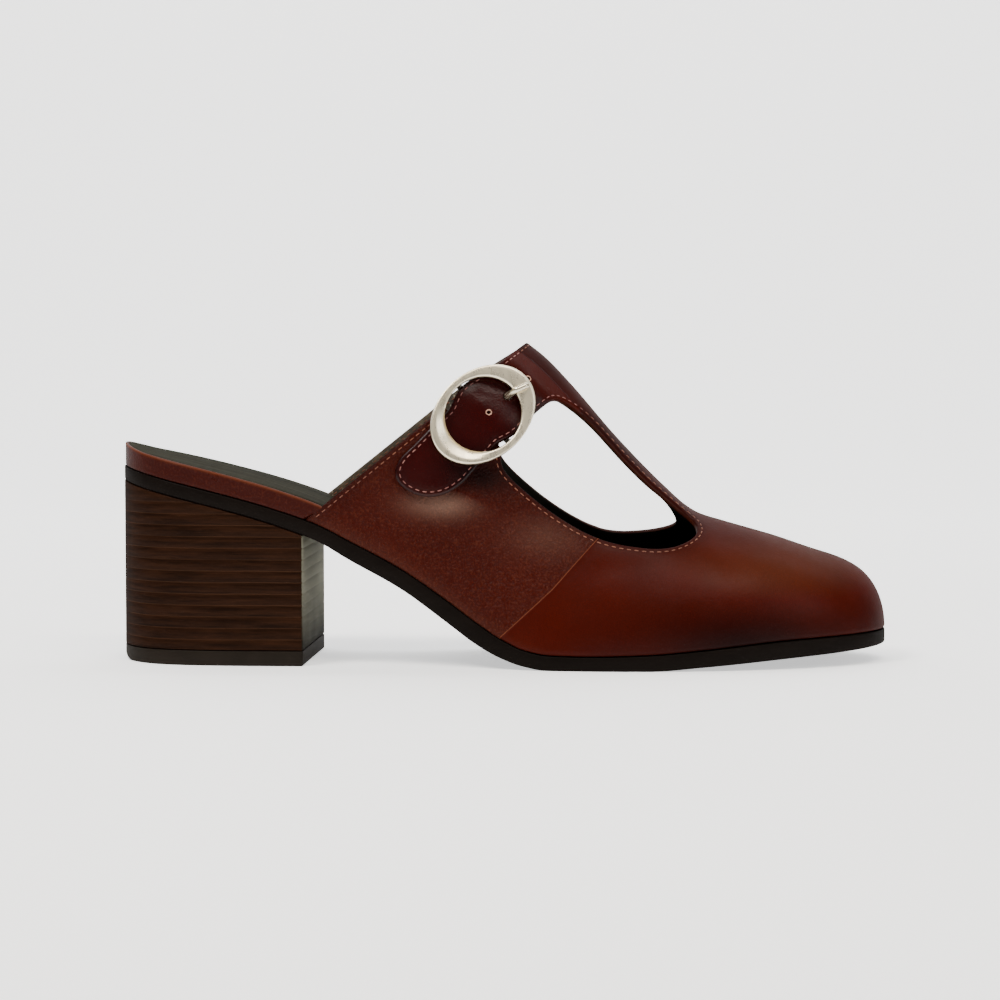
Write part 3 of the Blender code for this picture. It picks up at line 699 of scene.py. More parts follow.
# Relief of the leather. A crease runs from one place to another on the last, with
# its half width and its height, in metres; troughs are below zero.
QUARTER_CREASES = (
    ((0.55, 0.10), (1.60, 0.20), 0.0030, -0.00019),
    ((0.90, 0.02), (2.10, 0.13), 0.0035, -0.00016),
    ((0.20, 0.42), (0.80, 0.30), 0.0016, -0.00016),
    ((1.25, 0.34), (2.30, 0.33), 0.0022, -0.00019),
    ((3.00, 0.30), (3.90, 0.42), 0.0030, -0.00019),
    ((3.10, 0.10), (4.60, 0.06), 0.0045, 0.00019),
    ((5.20, 0.62), (4.60, 0.86), 0.0040, -0.00022),
    ((5.60, 0.40), (5.10, 0.66), 0.0040, -0.00019),
)
STRAP_CREASES = (
    ((0.15, 0.560), (0.55, 0.600), 0.0007, -0.00027),
    ((0.14, 0.620), (0.50, 0.650), 0.0008, -0.00031),
    ((0.16, 0.520), (0.40, 0.535), 0.0006, -0.00020),
    ((0.90, 0.540), (0.62, 0.560), 0.0007, -0.00024),
    ((0.20, 0.360), (0.90, 0.350), 0.0014, -0.00020),
    ((0.15, 0.400), (0.60, 0.395), 0.0009, -0.00020),
)


def crease_relief(station, share, creases):
    """Height of soft troughs and ridges that fade out at their ends."""
    spots = last_point(station, share)
    relief = np.zeros(len(spots))
    for start, end, half_width, height in creases:
        start, end = last_point(*start), last_point(*end)
        run = end - start
        t = np.clip((spots - start) @ run / (run @ run), 0, 1)
        away = np.linalg.norm(spots - start - t[:, None] * run, axis=1)
        fade = 1 - 0.75 * np.abs(2 * t - 1) ** 2
        relief += height * fade * np.exp(-(away / half_width) ** 2)
    return relief


def behind_seam(station, share):
    """How far a place stands behind the quarter's front edge."""
    rows = np.array(SEAM_ROWS)
    return (np.interp(share, rows[:, 1], rows[:, 0]) - station) * STATION_RUN


def seam_relief(station, share):
    """Quarter's thickness over the vamp, along the seam and fading behind it."""
    behind = behind_seam(station, share)
    step = smooth(0.5 + behind / 0.00030)
    fade = np.exp(-np.clip(behind, 0, None) / 0.003)
    trough = -0.00010 * np.exp(-((behind + 0.0003) / 0.0003) ** 2)
    return (SEAM_STEP * step * fade + trough) * smooth((0.50 - share) / 0.06)


def rounding(near, radius):
    """How far a rounded edge has dropped at a distance from it."""
    inset = radius - np.clip(near, 0, radius)
    return radius - np.sqrt(radius ** 2 - inset ** 2)


def spots_of(paths):
    """Closely spaced points of the last along paths."""
    return np.concatenate([last_point(*even(path, FINE_PITCH).T) for path in paths])


def sheet(border, windows, pin_holes, free, feather, seams, medial, lift, creases):
    """One sheet of the upper: its places, heights over the last and triangles."""
    free = free + [looped(w) for w in windows]
    pins = [looped(p) for p in pin_holes]
    edge_rings = [(p, RINGS) for p in free] + [(p, FEATHER_RINGS) for p in feather]
    edge_rings += [(p, HOLE_RINGS) for p in pins]
    inner_lines = [facing_path(medial)] if seams else []
    flat, faces = mesh_region(border, windows + pin_holes, edge_rings, seams + inner_lines)
    station, share = flat.T
    spots = last_point(station, share)
    near = reach(spots, spots_of(free))
    drop = rounding(near, EDGE_RADIUS)
    hole_near = np.full(len(spots), 1.0)
    if pins:
        hole_near = reach(spots, spots_of(pins))
        drop = np.maximum(drop, rounding(hole_near, HOLE_EDGE_RADIUS))
    if feather:
        drop = np.maximum(drop, rounding(reach(spots, spots_of(feather)), EDGE_RADIUS))
    relief = -STITCH_SINK * np.exp(-((near - STITCH_INSET) / 0.00042) ** 2)
    relief += crease_relief(station, share, creases)
    pale = np.zeros(len(spots))
    if seams:
        relief += seam_relief(station, share)
        # Painted highlight along the quarter's front edge at the seam
        pale = np.exp(-(behind_seam(station, share) / 0.00010) ** 2) * (share < 0.45)
    return {
        "station": 2 * TOE_STATION - station if medial else station, "share": share,
        "faces": faces, "near": near, "hole_near": hole_near, "pale": pale,
        "lift": lift(share), "relief": relief, "drop": drop,
    }


# Places of two sheets in the list that makes the upper
MEDIAL_SHEET = 1
STRAP_SHEET = 2
SHEET_VALUES = ("station", "share", "lift", "relief", "drop", "near", "hole_near", "pale")


def join_sheets(sheets):
    """One set of places and triangles; points that sheets share are welded."""
    joined = {key: np.concatenate([s[key] for s in sheets]) for key in SHEET_VALUES}
    sizes = np.cumsum([0] + [len(s["station"]) for s in sheets])
    faces = [s["faces"] + first for s, first in zip(sheets, sizes)]
    kind = np.concatenate([np.full(len(f), i) for i, f in enumerate(faces)])
    faces = np.concatenate(faces)
    base = off_last(joined["station"], joined["share"], joined["lift"])
    tree = tree_of(base)
    target = np.array([min(hit[1] for hit in tree.find_range(Vector(p), 1e-6)) for p in base])
    normal = last_normal(joined["station"], joined["share"])
    summed = np.zeros_like(normal)
    np.add.at(summed, target, normal)
    joined["normal"] = summed / np.maximum(np.linalg.norm(summed, axis=1, keepdims=True), 1e-9)
    joined["base"] = last_point(joined["station"], joined["share"])
    order, compact = np.unique(target, return_inverse=True)
    for key in SHEET_VALUES + ("normal", "base"):
        joined[key] = joined[key][order]
    faces = compact[faces]
    corners = joined["base"][faces]
    way = np.cross(corners[:, 1] - corners[:, 0], corners[:, 2] - corners[:, 0])
    flip = (way * joined["normal"][faces].mean(axis=1)).sum(axis=1) < 0
    faces[flip] = faces[flip][:, ::-1]
    joined["faces"], joined["kind"] = faces, kind
    return joined


# Materials

class Graph:
    """A node-based material whose nodes are added one by one."""

    def __init__(self, name):
        self.material = bpy.data.materials.new(name)
        self.material.use_nodes = True
        self.tree = self.material.node_tree
        self.shader = self.tree.nodes["Principled BSDF"]
        self.place = self.add("ShaderNodeTexCoord").outputs["Object"]

    def add(self, kind, inputs=None, **settings):
        node = self.tree.nodes.new(kind)
        for key, value in settings.items():
            setattr(node, key, value)
        for key, value in (inputs or {}).items():
            self.put(node.inputs[key], value)
        return node

    def put(self, socket, value):
        if isinstance(value, bpy.types.NodeSocket):
            self.tree.links.new(value, socket)
        else:
            socket.default_value = value

    def stretch(self, scale):
        node = self.add("ShaderNodeMapping", {"Vector": self.place, "Scale": scale})
        return node.outputs["Vector"]

    def height(self):
        return self.add("ShaderNodeSeparateXYZ", {"Vector": self.place}).outputs["Z"]

    def noise(self, scale, detail=3.0, roughness=0.5, vector=None):
        node = self.add("ShaderNodeTexNoise", {
            "Vector": vector or self.place, "Scale": scale, "Detail": detail,
            "Roughness": roughness})
        return node.outputs["Fac"]

    def cells(self, scale):
        node = self.add("ShaderNodeTexVoronoi", {"Vector": self.place, "Scale": scale})
        return node.outputs["Distance"]

    def math(self, operation, a, b=0.0, c=0.0):
        node = self.add("ShaderNodeMath", operation=operation)
        for socket, value in zip(node.inputs, (a, b, c)):
            self.put(socket, value)
        return node.outputs["Value"]

    def fit(self, value, low, high, to_low=0.0, to_high=1.0):
        node = self.add("ShaderNodeMapRange", {
            "Value": value, "From Min": low, "From Max": high,
            "To Min": to_low, "To Max": to_high})
        return node.outputs["Result"]

    def mix(self, share, a, b):
        node = self.add("ShaderNodeMix", data_type="RGBA")
        self.put(node.inputs["Factor"], share)
        for socket, value in ((node.inputs[6], a), (node.inputs[7], b)):
            self.put(socket, (*value, 1.0) if isinstance(value, tuple) else value)
        return node.outputs[2]

    def over(self, colour, share, strength, top):
        """A colour with another laid over it, by a share times a strength."""
        return self.mix(self.math("MULTIPLY", share, strength), colour, top)

    def attribute(self, name):
        return self.add("ShaderNodeAttribute", attribute_name=name).outputs["Fac"]

    def bump(self, height, distance, onto=None):
        inputs = {"Height": height, "Distance": distance, "Strength": 1.0}
        if onto is not None:
            inputs["Normal"] = onto
        return self.add("ShaderNodeBump", inputs).outputs["Normal"]

    def finish(self, **inputs):
        for key, value in inputs.items():
            socket = self.shader.inputs[key.replace("_", " ")]
            self.put(socket, (*value, 1.0) if isinstance(value, tuple) else value)
        return self.material

    def waxed(self, colour, roughness, normal, coat, coat_roughness=0.40):
        """Matt body under a thin coat, which keeps edges seen from the side dark."""
        return self.finish(Base_Color=colour, Roughness=roughness, Normal=normal,
                           Specular_IOR_Level=0.0, Coat_Weight=coat,
                           Coat_Roughness=coat_roughness)


def shade(colour, share):
    return tuple(share * value for value in colour)


def leather(name, deep, mid, bright, painted_sheen, grain, depth, fleck, roughness, coat):
    """Dyed leather: clouded colour, pebbled grain, fine pores, burnished edges, painted shade and
    painted highlights.
    """
    g = Graph(name)
    cloud = g.fit(g.noise(26.0, 3.0, 0.5), 0.32, 0.70)
    colour = g.mix(cloud, deep, mid)
    pebble = g.noise(grain, 2.0, 0.55)
    valley = g.fit(pebble, 0.50, 0.36)
    colour = g.over(colour, valley, 2.0 * fleck, shade(deep, 0.30))
    peak = g.fit(pebble, 0.52, 0.67)
    # Painted highlight: below zero the colour goes towards the painted sheen colour, with painted
    # glints on the grain's peaks
    lift = g.math("MULTIPLY", g.attribute("shade_and_sheen"), -0.30)
    fleck_and_glint = g.math("MAXIMUM", g.math("MULTIPLY", lift, 8.0 * fleck), fleck)
    colour = g.over(colour, peak, fleck_and_glint, bright)
    colour = g.mix(lift, colour, painted_sheen)
    # Painted shade where the painted light is above zero; darker burnished edges
    for value, strength, dark in (("shade_and_sheen", 0.92, 0.15), ("edge", 0.60, 0.35)):
        colour = g.over(colour, g.attribute(value), strength, shade(deep, dark))
    colour = g.mix(g.attribute("root"), colour, BAND_COLOUR)
    # Painted highlight along the seam's front edge and the rim's top edge
    colour = g.over(colour, g.attribute("pale"), 0.8, bright)
    normal = g.bump(g.noise(260.0, 2.0, 0.5), 0.00006)
    normal = g.bump(pebble, depth, onto=normal)
    sheen = g.fit(g.noise(90.0, 3.0, 0.5), 0.3, 0.7, roughness - 0.04, roughness + 0.05)
    coat = g.math("MULTIPLY_ADD", g.attribute("root"), -0.55 * coat, coat)
    return g.finish(Base_Color=colour, Roughness=0.8, Normal=normal, Coat_Normal=normal,
                    Coat_Weight=coat, Coat_Roughness=sheen, Specular_IOR_Level=0.0)


def lining_leather():
    g = Graph("visual_lining")
    cloud = g.fit(g.noise(60.0, 4.0, 0.6), 0.35, 0.7)
    colour = g.mix(cloud, (0.006, 0.005, 0.004), (0.014, 0.012, 0.010))
    pore = g.cells(1500.0)
    colour = g.mix(g.fit(pore, 0.5, 0.9, 0.0, 0.35), colour, (0.003, 0.003, 0.002))
    normal = g.bump(g.math("SUBTRACT", g.noise(900.0, 3.0), pore), 0.00004)
    rough = g.fit(g.noise(200.0), 0.3, 0.7, 0.52, 0.68)
    return g.waxed(colour, rough, normal, 0.08)


def edge_paint():
    """Dyed cut edge of the leather."""
    g = Graph("visual_cut_edge")
    colour = g.mix(g.noise(420.0, 3.0), (0.016, 0.0028, 0.0014), (0.042, 0.0080, 0.0036))
    normal = g.bump(g.noise(1600.0, 3.0), 0.00003)
    return g.waxed(colour, 0.8, normal, 0.16, g.fit(g.noise(300.0), 0.3, 0.7, 0.35, 0.48))


def hole_rim_highlight():
    # Painted highlight on the rims of the pin holes
    g = Graph("visual_hole_rim")
    colour = g.mix(g.noise(2500.0, 2.0), (0.30, 0.14, 0.09), (0.46, 0.27, 0.19))
    normal = g.bump(g.noise(3000.0, 3.0), 0.00003)
    return g.finish(Base_Color=colour, Roughness=0.6, Normal=normal)


def thread(name, dark, light):
    g = Graph(name)
    twist = g.noise(3200.0, 2.0, 0.5)
    colour = g.mix(g.fit(g.noise(55.0, 3.0), 0.35, 0.65), dark, light)
    colour = g.over(colour, twist, 0.5, shade(dark, 0.6))
    return g.finish(Base_Color=colour, Roughness=0.62, Normal=g.bump(twist, 0.00005))


def facing_leather():
    """Unlined inner side of the collar: crinkled olive brown with pale flecks."""
    g = Graph("visual_facing")
    cloud = g.fit(g.noise(180.0, 5.0, 0.65), 0.36, 0.66)
    colour = g.mix(cloud, (0.022, 0.015, 0.007), (0.085, 0.062, 0.034))
    fleck = g.fit(g.noise(900.0, 3.0, 0.6), 0.60, 0.70)
    colour = g.over(colour, fleck, 0.7, (0.32, 0.27, 0.19))
    crinkle = g.noise(420.0, 4.0, 0.6)
    rough = g.fit(cloud, 0.0, 1.0, 0.45, 0.6)
    return g.finish(Base_Color=colour, Roughness=rough, Normal=g.bump(crinkle, 0.0004))


def stacked_leather():
    """Heel covered in layers: fine level lines over streaked dark brown, with painted shade at its
    rear.
    """
    g = Graph("visual_stacked_heel")
    grain = g.noise(60.0, 6.0, 0.65, g.stretch((1.0, 1.0, 14.0)))
    colour = g.mix(g.fit(grain, 0.35, 0.68), (0.0075, 0.0028, 0.0012), (0.0210, 0.0080, 0.0036))
    wobble = g.fit(g.noise(45.0, 3.0), 0.0, 1.0, -0.00022, 0.00022)
    height = g.math("ADD", g.height(), wobble)
    layer = g.math("DIVIDE", g.math("SUBTRACT", height, TOP_PIECE), HEEL_LAYER)
    away = g.math("ABSOLUTE", g.math("SUBTRACT", g.math("FRACT", layer), 0.5))
    stripe = g.fit(away, 0.420, 0.485)
    strength = g.fit(g.noise(26.0, 4.0, 0.6, g.stretch((1.0, 1.0, 5.0))), 0.30, 0.62, 0.20, 1.0)
    top_fade = g.fit(height, 0.045, 0.052, 1.0, 0.15)
    stripe = g.math("MULTIPLY", g.math("MULTIPLY", stripe, strength), top_fade)
    colour = g.over(colour, stripe, 0.50, (0.046, 0.0205, 0.0100))
    # Painted shade on the heel's rounded rear
    colour = g.over(colour, g.attribute("edge"), 0.7, (0.0070, 0.0026, 0.0011))
    normal = g.bump(g.math("SUBTRACT", grain, g.math("MULTIPLY", stripe, 0.8)), 0.00012)
    rough = g.fit(grain, 0.3, 0.7, 0.34, 0.48)
    return g.waxed(colour, rough, normal, 0.06)


def breast_sheen_and_shade():
    """Smooth front face of the heel: a painted grey-olive sheen, with painted shade darker to the
    ground.
    """
    g = Graph("visual_breast")
    drift = g.math("MULTIPLY", g.noise(40.0, 3.0, 0.5), 0.012)
    rise = g.fit(g.math("ADD", g.height(), drift), 0.012, 0.030)
    colour = g.mix(rise, (0.010, 0.009, 0.006), (0.140, 0.136, 0.100))
    streak = g.noise(60.0, 4.0, 0.6, g.stretch((1.0, 1.0, 6.0)))
    colour = g.over(colour, streak, 0.25, (0.020, 0.018, 0.012))
    return g.waxed(colour, 0.60, g.bump(streak, 0.00002), 0.08, 0.45)


def clouded(name, scale, levelled, dark, light, fine, depth, rough, coat):
    """Dark sole material: soft clouds, drawn out level, and a fine bump."""
    g = Graph(name)
    cloud = g.noise(scale, 5.0, 0.6, g.stretch((1.0, 1.0, levelled)))
    normal = g.bump(g.noise(fine, 3.0), depth)
    return g.waxed(g.mix(cloud, dark, light), g.fit(cloud, 0.3, 0.7, *rough), normal, *coat)


def sock_leather():
    """Insole sock: olive grey with streaks along the foot."""
    g = Graph("visual_sock")
    streak = g.noise(30.0, 6.0, 0.6, g.stretch((1.0, 9.0, 1.0)))
    colour = g.mix(g.fit(streak, 0.32, 0.68), (0.0100, 0.0095, 0.0055), (0.0240, 0.0230, 0.0140))
    pore = g.cells(1300.0)
    colour = g.mix(g.fit(pore, 0.45, 0.9, 0.0, 0.35), colour, (0.0045, 0.0040, 0.0026))
    normal = g.bump(g.math("SUBTRACT", g.math("MULTIPLY", streak, 2.0), pore), 0.00005)
    rough = g.fit(streak, 0.3, 0.7, 0.50, 0.64)
    return g.waxed(colour, rough, normal, 0.05)


def satin_nickel(name, base, low, high, metal):
    g = Graph(name)
    brush = g.noise(500.0, 4.0, 0.6, g.stretch((1.0, 1.0, 0.35)))
    colour = g.mix(g.fit(g.noise(160.0, 4.0), 0.35, 0.7), base, shade(base, 0.93))
    rough = g.fit(brush, 0.3, 0.7, low, high)
    normal = g.bump(brush, 0.000010)
    return g.finish(Base_Color=colour, Roughness=rough, Normal=normal, Metallic=metal)


def floor_paper():
    g = Graph("pale_floor")
    colour = g.mix(g.noise(6.0, 2.0), (0.87, 0.87, 0.87), (0.89, 0.89, 0.89))
    return g.finish(Base_Color=colour, Roughness=0.9, Emission_Color=(1.0, 1.0, 1.0),
                    Emission_Strength=0.8)


# Objects

def add_object(name, points, faces, materials, kinds=None):
    mesh = bpy.data.meshes.new(name)
    mesh.from_pydata([tuple(p) for p in points], [], [tuple(int(i) for i in f) for f in faces])
    for material in materials:
        mesh.materials.append(material)
    if kinds is not None:
        mesh.polygons.foreach_set("material_index", np.asarray(kinds, int))
    mesh.polygons.foreach_set("use_smooth", np.ones(len(mesh.polygons), bool))
    mesh.update()
    thing = bpy.data.objects.new(name, mesh)
    bpy.context.scene.collection.objects.link(thing)
    return thing


def keep_values(thing, name, values):
    """Store a number for each point of the mesh."""
    layer = thing.data.attributes.new(name, "FLOAT", "POINT")
    layer.data.foreach_set("value", np.asarray(values, np.float32))


@contextmanager
def edited(thing):
    """The mesh of a piece for editing, written back after the block."""
    shape = bmesh.new()
    shape.from_mesh(thing.data)
    yield shape
    shape.to_mesh(thing.data)
    shape.free()


def weld(thing, distance=1e-6):
    with edited(thing) as shape:
        bmesh.ops.remove_doubles(shape, verts=shape.verts, dist=distance)
        bmesh.ops.dissolve_degenerate(shape, edges=shape.edges, dist=1e-8)
        bmesh.ops.recalc_face_normals(shape, faces=shape.faces)


def sharpen(thing, degrees):
    """Shade edges that bend by more than an angle as sharp."""
    thing.data.set_sharp_from_angle(angle=math.radians(degrees))


def dress(thing, node):
    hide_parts(node)
    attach(thing, "root")


def pin_hole_floor(share):
    """Round patch that closes a pin hole inside the strap's thickness."""
    loop = hole_loop(share, 1.15 * PIN_HOLE_RADIUS)
    return off_last(*loop.T, strap_offset(loop[:, 1]) - 0.7 * WALL)


def both_sides(values, count):
    """Values of the outer points, again for the inner ones, then none up to the count."""
    values = np.concatenate([values, values])
    return np.pad(values, (0, count - len(values)))


def painted_shade_and_sheen(spots):
    """Painted shade at points of the upper; below zero, painted highlight and painted floor light.
    """
    depth = np.zeros(len(spots))
    for x, z, run, rise, amount in SHADE_AND_SHEEN_PLACES:
        away = ((spots[:, 0] - x) / run) ** 2 + ((spots[:, 2] - z) / rise) ** 2
        depth += amount * np.exp(-away)
    depth *= 1 - SHADE_AND_SHEEN_FADE * smooth(spots[:, 1] / MEDIAL_SHADE_AND_SHEEN_RUN + 0.5)
    # Painted floor light low on the rear of the quarters
    above = spots[:, 2] - sole_top(spots[:, 0])
    rear = smooth((FLOOR_LIGHT_END - spots[:, 0]) / FLOOR_LIGHT_FADE)
    depth -= FLOOR_LIGHT * np.exp(-(above / FLOOR_LIGHT_BAND) ** 2) * rear
    return np.clip(depth, -1, 1)


def upper_skin(window, far_window):
    """Lateral half, medial half and free strap end, welded into one skin."""
    border, free, feather = quarter_shape(window)
    seams = [seam_path(shift) for shift in SEAM_SHIFTS]
    flat_lift = np.zeros_like
    lateral = sheet(border, [], [], free, feather, seams, False, flat_lift, QUARTER_CREASES)
    border, free, feather = medial_shape()
    medial = sheet(border, [far_window], [], free, feather, seams, True, flat_lift,
                   QUARTER_CREASES)
    border, free = strap_shape(window)
    radii = (PIN_HOLE_RADIUS, HOLE_RADIUS, PIN_HOLE_RADIUS)
    pins = [hole_loop(share, radius) for share, radius in zip(HOLE_SHARES, radii)]
    strap = sheet(border, [], pins, free, [], [], False, strap_offset, STRAP_CREASES)
    return join_sheets([lateral, medial, strap])


def skin_kinds(skin):
    """Slot of each triangle of the skin, on its outer and on its inner side."""
    faces, kind = skin["faces"], skin["kind"]
    station = skin["station"][faces].mean(axis=1)
    share = skin["share"][faces].mean(axis=1)
    from_collar = np.where(station > TOE_STATION, 2 * TOE_STATION - station, station)
    in_quarter = (behind_seam(from_collar, share) > 0) & (share < QUARTER_TOP_SHARE)
    surface = np.where(in_quarter, UPPER_SLOTS.index(QUARTER), UPPER_SLOTS.index(VAMP))
    surface[kind == STRAP_SHEET] = UPPER_SLOTS.index(STRAP)
    prong_hole = last_point(STRAP_STATION, HOLE_SHARES[1])
    from_prong = np.linalg.norm(skin["base"][faces].mean(axis=1) - prong_hole, axis=1)
    # Painted highlight: a pale ring round the pin holes, but not round the prong's hole
    by_hole = skin["hole_near"][faces].mean(axis=1) < PALE_RING
    surface[by_hole & (from_prong >= 2 * HOLE_RADIUS)] = UPPER_SLOTS.index(HOLE_RIM)
    back = np.where(kind == MEDIAL_SHEET, from_collar - medial_collar(share), from_collar)
    faced = (back < FACING_STATIONS) & (share < FACING_TOP_SHARE) & (kind != STRAP_SHEET)
    return surface, np.where(faced, UPPER_SLOTS.index(FACING), UPPER_SLOTS.index(LINING))


def build_upper():
    """Vamp, quarters, T-bar, band and free strap end as one leather wall with lining."""
    window, far_window = closed_curve(WINDOW_ROWS), medial_window_edge()
    skin = upper_skin(window, far_window)
    outer = skin["base"] + skin["normal"] * (skin["lift"] + skin["relief"] - skin["drop"])[:, None]
    depth = skin["lift"] - WALL + 0.35 * skin["drop"]
    inner = skin["base"] + skin["normal"] * depth[:, None]
    for layer in (outer, inner):
        layer[:, 2] = np.maximum(layer[:, 2], sole_top(layer[:, 0]))

    count = len(skin["base"])
    faces = [tuple(face) for face in skin["faces"].tolist()]
    # Edges with a face on one side only get a wall between the two layers
    open_edges = {}
    for a, b in [pair for a, b, c in faces for pair in ((a, b), (b, c), (c, a))]:
        if (b, a) in open_edges:
            del open_edges[b, a]
        else:
            open_edges[a, b] = True
    rim = [(b, a, a + count, b + count) for a, b in open_edges]
    inner_faces = [(c + count, b + count, a + count) for a, b, c in faces]
    floors = [pin_hole_floor(HOLE_SHARES[i]) for i in (0, 2)]
    floor_faces, first = [], 2 * count
    for spots in floors:
        floor_faces.append(tuple(range(first, first + len(spots))))
        first += len(spots)
    cut = np.full(len(rim) + len(floors), UPPER_SLOTS.index(CUT_EDGE))
    upper = add_object(
        "upper_leather", np.concatenate([outer, inner] + floors),
        faces + inner_faces + rim + floor_faces, UPPER_SLOTS,
        np.concatenate([*skin_kinds(skin), cut]))
    keep_values(upper, "edge", both_sides(np.exp(-skin["near"] / EDGE_DYE_RUN), first))
    # Painted highlight at the seam
    keep_values(upper, "pale", both_sides(skin["pale"], first))
    root = smooth((skin["share"] - BAND_SHARE) / BAND_FADE_SHARE) * (skin["lift"] > 0)
    keep_values(upper, "root", both_sides(root, first))
    # Painted shade and painted highlights on the upper, by place
    keep_values(upper, "shade_and_sheen", both_sides(painted_shade_and_sheen(outer), first))
    dress(upper, "upper")
    build_stitches(window, far_window)


def tube_faces(rings, sides, first=0):
    """Faces between rings of points, with a cap on the first ring and on the last."""
    faces = []
    for k in range(rings - 1):
        for j in range(sides):
            a, b = first + k * sides + j, first + k * sides + (j + 1) % sides
            faces.append((a, b, b + sides, a + sides))
    faces.append(tuple(first + j for j in reversed(range(sides))))
    faces.append(tuple(first + (rings - 1) * sides + j for j in range(sides)))
    return faces


def stitch_row(path, height, points, faces, way=1):
    """Threads of one row along a path over the last; way is -1 on the lining side."""
    fine = even(path, 0.0002)
    spots = off_last(*fine.T, height(fine))
    normals = way * last_normal(*fine.T)
    run = run_along(spots)
    count = int(run[-1] / STITCH_PITCH)

    def along(values, at):
        return np.array([np.interp(at, run, values[:, k]) for k in range(3)])

    for i in range(count):
        start = (i + 0.5) * run[-1] / count - STITCH_LENGTH / 2
        faces += tube_faces(len(THREAD_RINGS), THREAD_SIDES, len(points))
        for share, width, rise in THREAD_RINGS:
            at = start + share * STITCH_LENGTH
            centre, normal = along(spots, at), along(normals, at)
            side = np.cross(normal, along(spots, at + 1e-4) - centre)
            side /= max(np.linalg.norm(side), 1e-12)
            centre = centre + normal * rise * THREAD_RADIUS
            for j in range(THREAD_SIDES):
                turn = 2 * math.pi * j / THREAD_SIDES
                ring = math.cos(turn) * side * 1.05 + math.sin(turn) * normal * 0.85
                points.append(centre + ring * width * THREAD_RADIUS)


def build_stitches(window, far_window):
    """Rows of thread along the collar, the windows, the band and the strap."""
    def on_upper(path):
        return np.full(len(path), -STITCH_SINK)

    def on_strap(path):
        return strap_offset(path[:, 1]) - STITCH_SINK

    def on_lining(path):
        return np.full(len(path), -WALL)

    def mirrored(path):
        return np.stack([2 * TOE_STATION - path[:, 0], path[:, 1]], axis=1)

    points, faces = [], []
    collar = even([(0, TAB_SHARE - 0.01), (0, 0.02)], EDGE_PITCH)
    band = even([(0, 0.995), (0, STRAP_ROOT_SHARE)], EDGE_PITCH)
    for path in (collar, instep_edge(window), band, mirrored(looped(far_window))):
        stitch_row(sideways(path, STITCH_INSET), on_upper, points, faces)
    shares = np.linspace(0.90, 0.02, 300)
    far_collar = mirrored(np.stack([medial_collar(shares), shares], axis=1))
    far_row = sideways(even(far_collar, EDGE_PITCH), -STITCH_INSET)
    stitch_row(far_row, on_upper, points, faces)
    stitch_row(far_row, on_lining, points, faces, -1)
    upper_faces = len(faces)
    edge = strap_shape(window)[1][0]
    stitch_row(sideways(edge, -STITCH_INSET), on_strap, points, faces)
    kinds = (np.arange(len(faces)) >= upper_faces).astype(int)
    thing = add_object("stitching", points, faces, [THREAD, STRAP_THREAD], kinds)
    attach(thing, "root")


# Sole, heel and insole

def left_of(run):
    """Unit vectors to the left of a run, in plan."""
    return unit(np.stack([-run[:, 1], run[:, 0]], axis=1))


def sole_sides(inset, marks=(), density=14):
    """Side lines of the sole, moved inward by inset(x, medial), with a point at each mark."""
    rows = REAR_ROWS + tuple(r[:3] for r in LAST_ROWS[1:])
    end = len(rows) - 1
    loop = outline_rows(rows)
    closed = np.concatenate([loop[-WRAP - 1:-1], loop, loop[1:WRAP + 1]])
    stops = np.linspace(0, end, density * end + 1)
    fine = np.linspace(0, end, 40 * end + 1)
    fine_x = spline(fine + WRAP, closed)[:, 0]
    stops = np.unique(np.append(stops, np.interp(marks, fine_x, fine)))

    def side(position, medial):
        point = spline(position + WRAP, closed)
        run = spline(position + WRAP + 0.001, closed) - spline(position + WRAP - 0.001, closed)
        return point + left_of(run) * inset(point[:, 0], medial)[:, None]

    return side(stops, False), side(2 * end - stops, True)


STEP_RUN = 0.0003
MEDIAL_STEP = FEATHER_LOOP[1, 0] - MEDIAL_COLLAR_STATIONS * STATION_RUN - 0.0004
LATERAL_STEP = FEATHER_LOOP[1, 0] - 0.0003
SOCK_TAPER = 0.030
SOCK_MARGIN = 0.0011
COLLAR_FOOT = last_point(np.array([0.0, 0.0]), np.array([0.0, 0.06]))
COLLAR_LEAN = (COLLAR_FOOT[1, 0] - COLLAR_FOOT[0, 0]) / (COLLAR_FOOT[1, 2] - COLLAR_FOOT[0, 2])
BOARD_MARKS = np.arange(MEDIAL_STEP - STEP_RUN, LATERAL_STEP + 0.0080, STEP_RUN)


def board_inset(x, medial, rise):
    """Edge of the insole board: flush behind the leaning collar, inside the wall before it."""
    step = (MEDIAL_STEP if medial else LATERAL_STEP) + COLLAR_LEAN * np.clip(rise, 0, 0.005)
    return GAP + np.clip((x - step) / STEP_RUN + 1, 0, 1) * (WALL + WALL_CLEARANCE - GAP)


def board_thickness(x):
    """Board's thickness: it thins from the seat to the ball and has a lip at the back."""
    share = np.clip((x - X_BACK) / LENGTH, 0, 1)
    start, run = THINNING_SHARES
    lip = BACK_LIP * np.clip(1 - share / BACK_LIP_SHARE, 0, 1) ** 2
    return BOARD_AT_SEAT + (BOARD_AT_BALL - BOARD_AT_SEAT) * smooth((share - start) / run) + lip


def rounded_levels(low, high, low_radius, high_radius, steps=4):
    """(inset, height) levels of a side wall with a rounded lower and upper edge."""
    lower, upper = [], []
    for i in range(steps + 1):
        turn = math.pi / 2 * i / steps
        by_sine, by_cosine = 1 - math.sin(turn), 1 - math.cos(turn)
        lower.append((low_radius * by_sine, low, low_radius * by_cosine))
        upper.append((high_radius * by_cosine, high, -high_radius * by_sine))
    return lower + upper


def ribbon(first, count, step, mirrored):
    """Faces between a line of points and the line that starts step points later."""
    near, far = (1, 0) if mirrored else (0, 1)
    return [(a + near, a + far, a + step + far, a + step + near)
            for a in range(first, first + count - 1)]


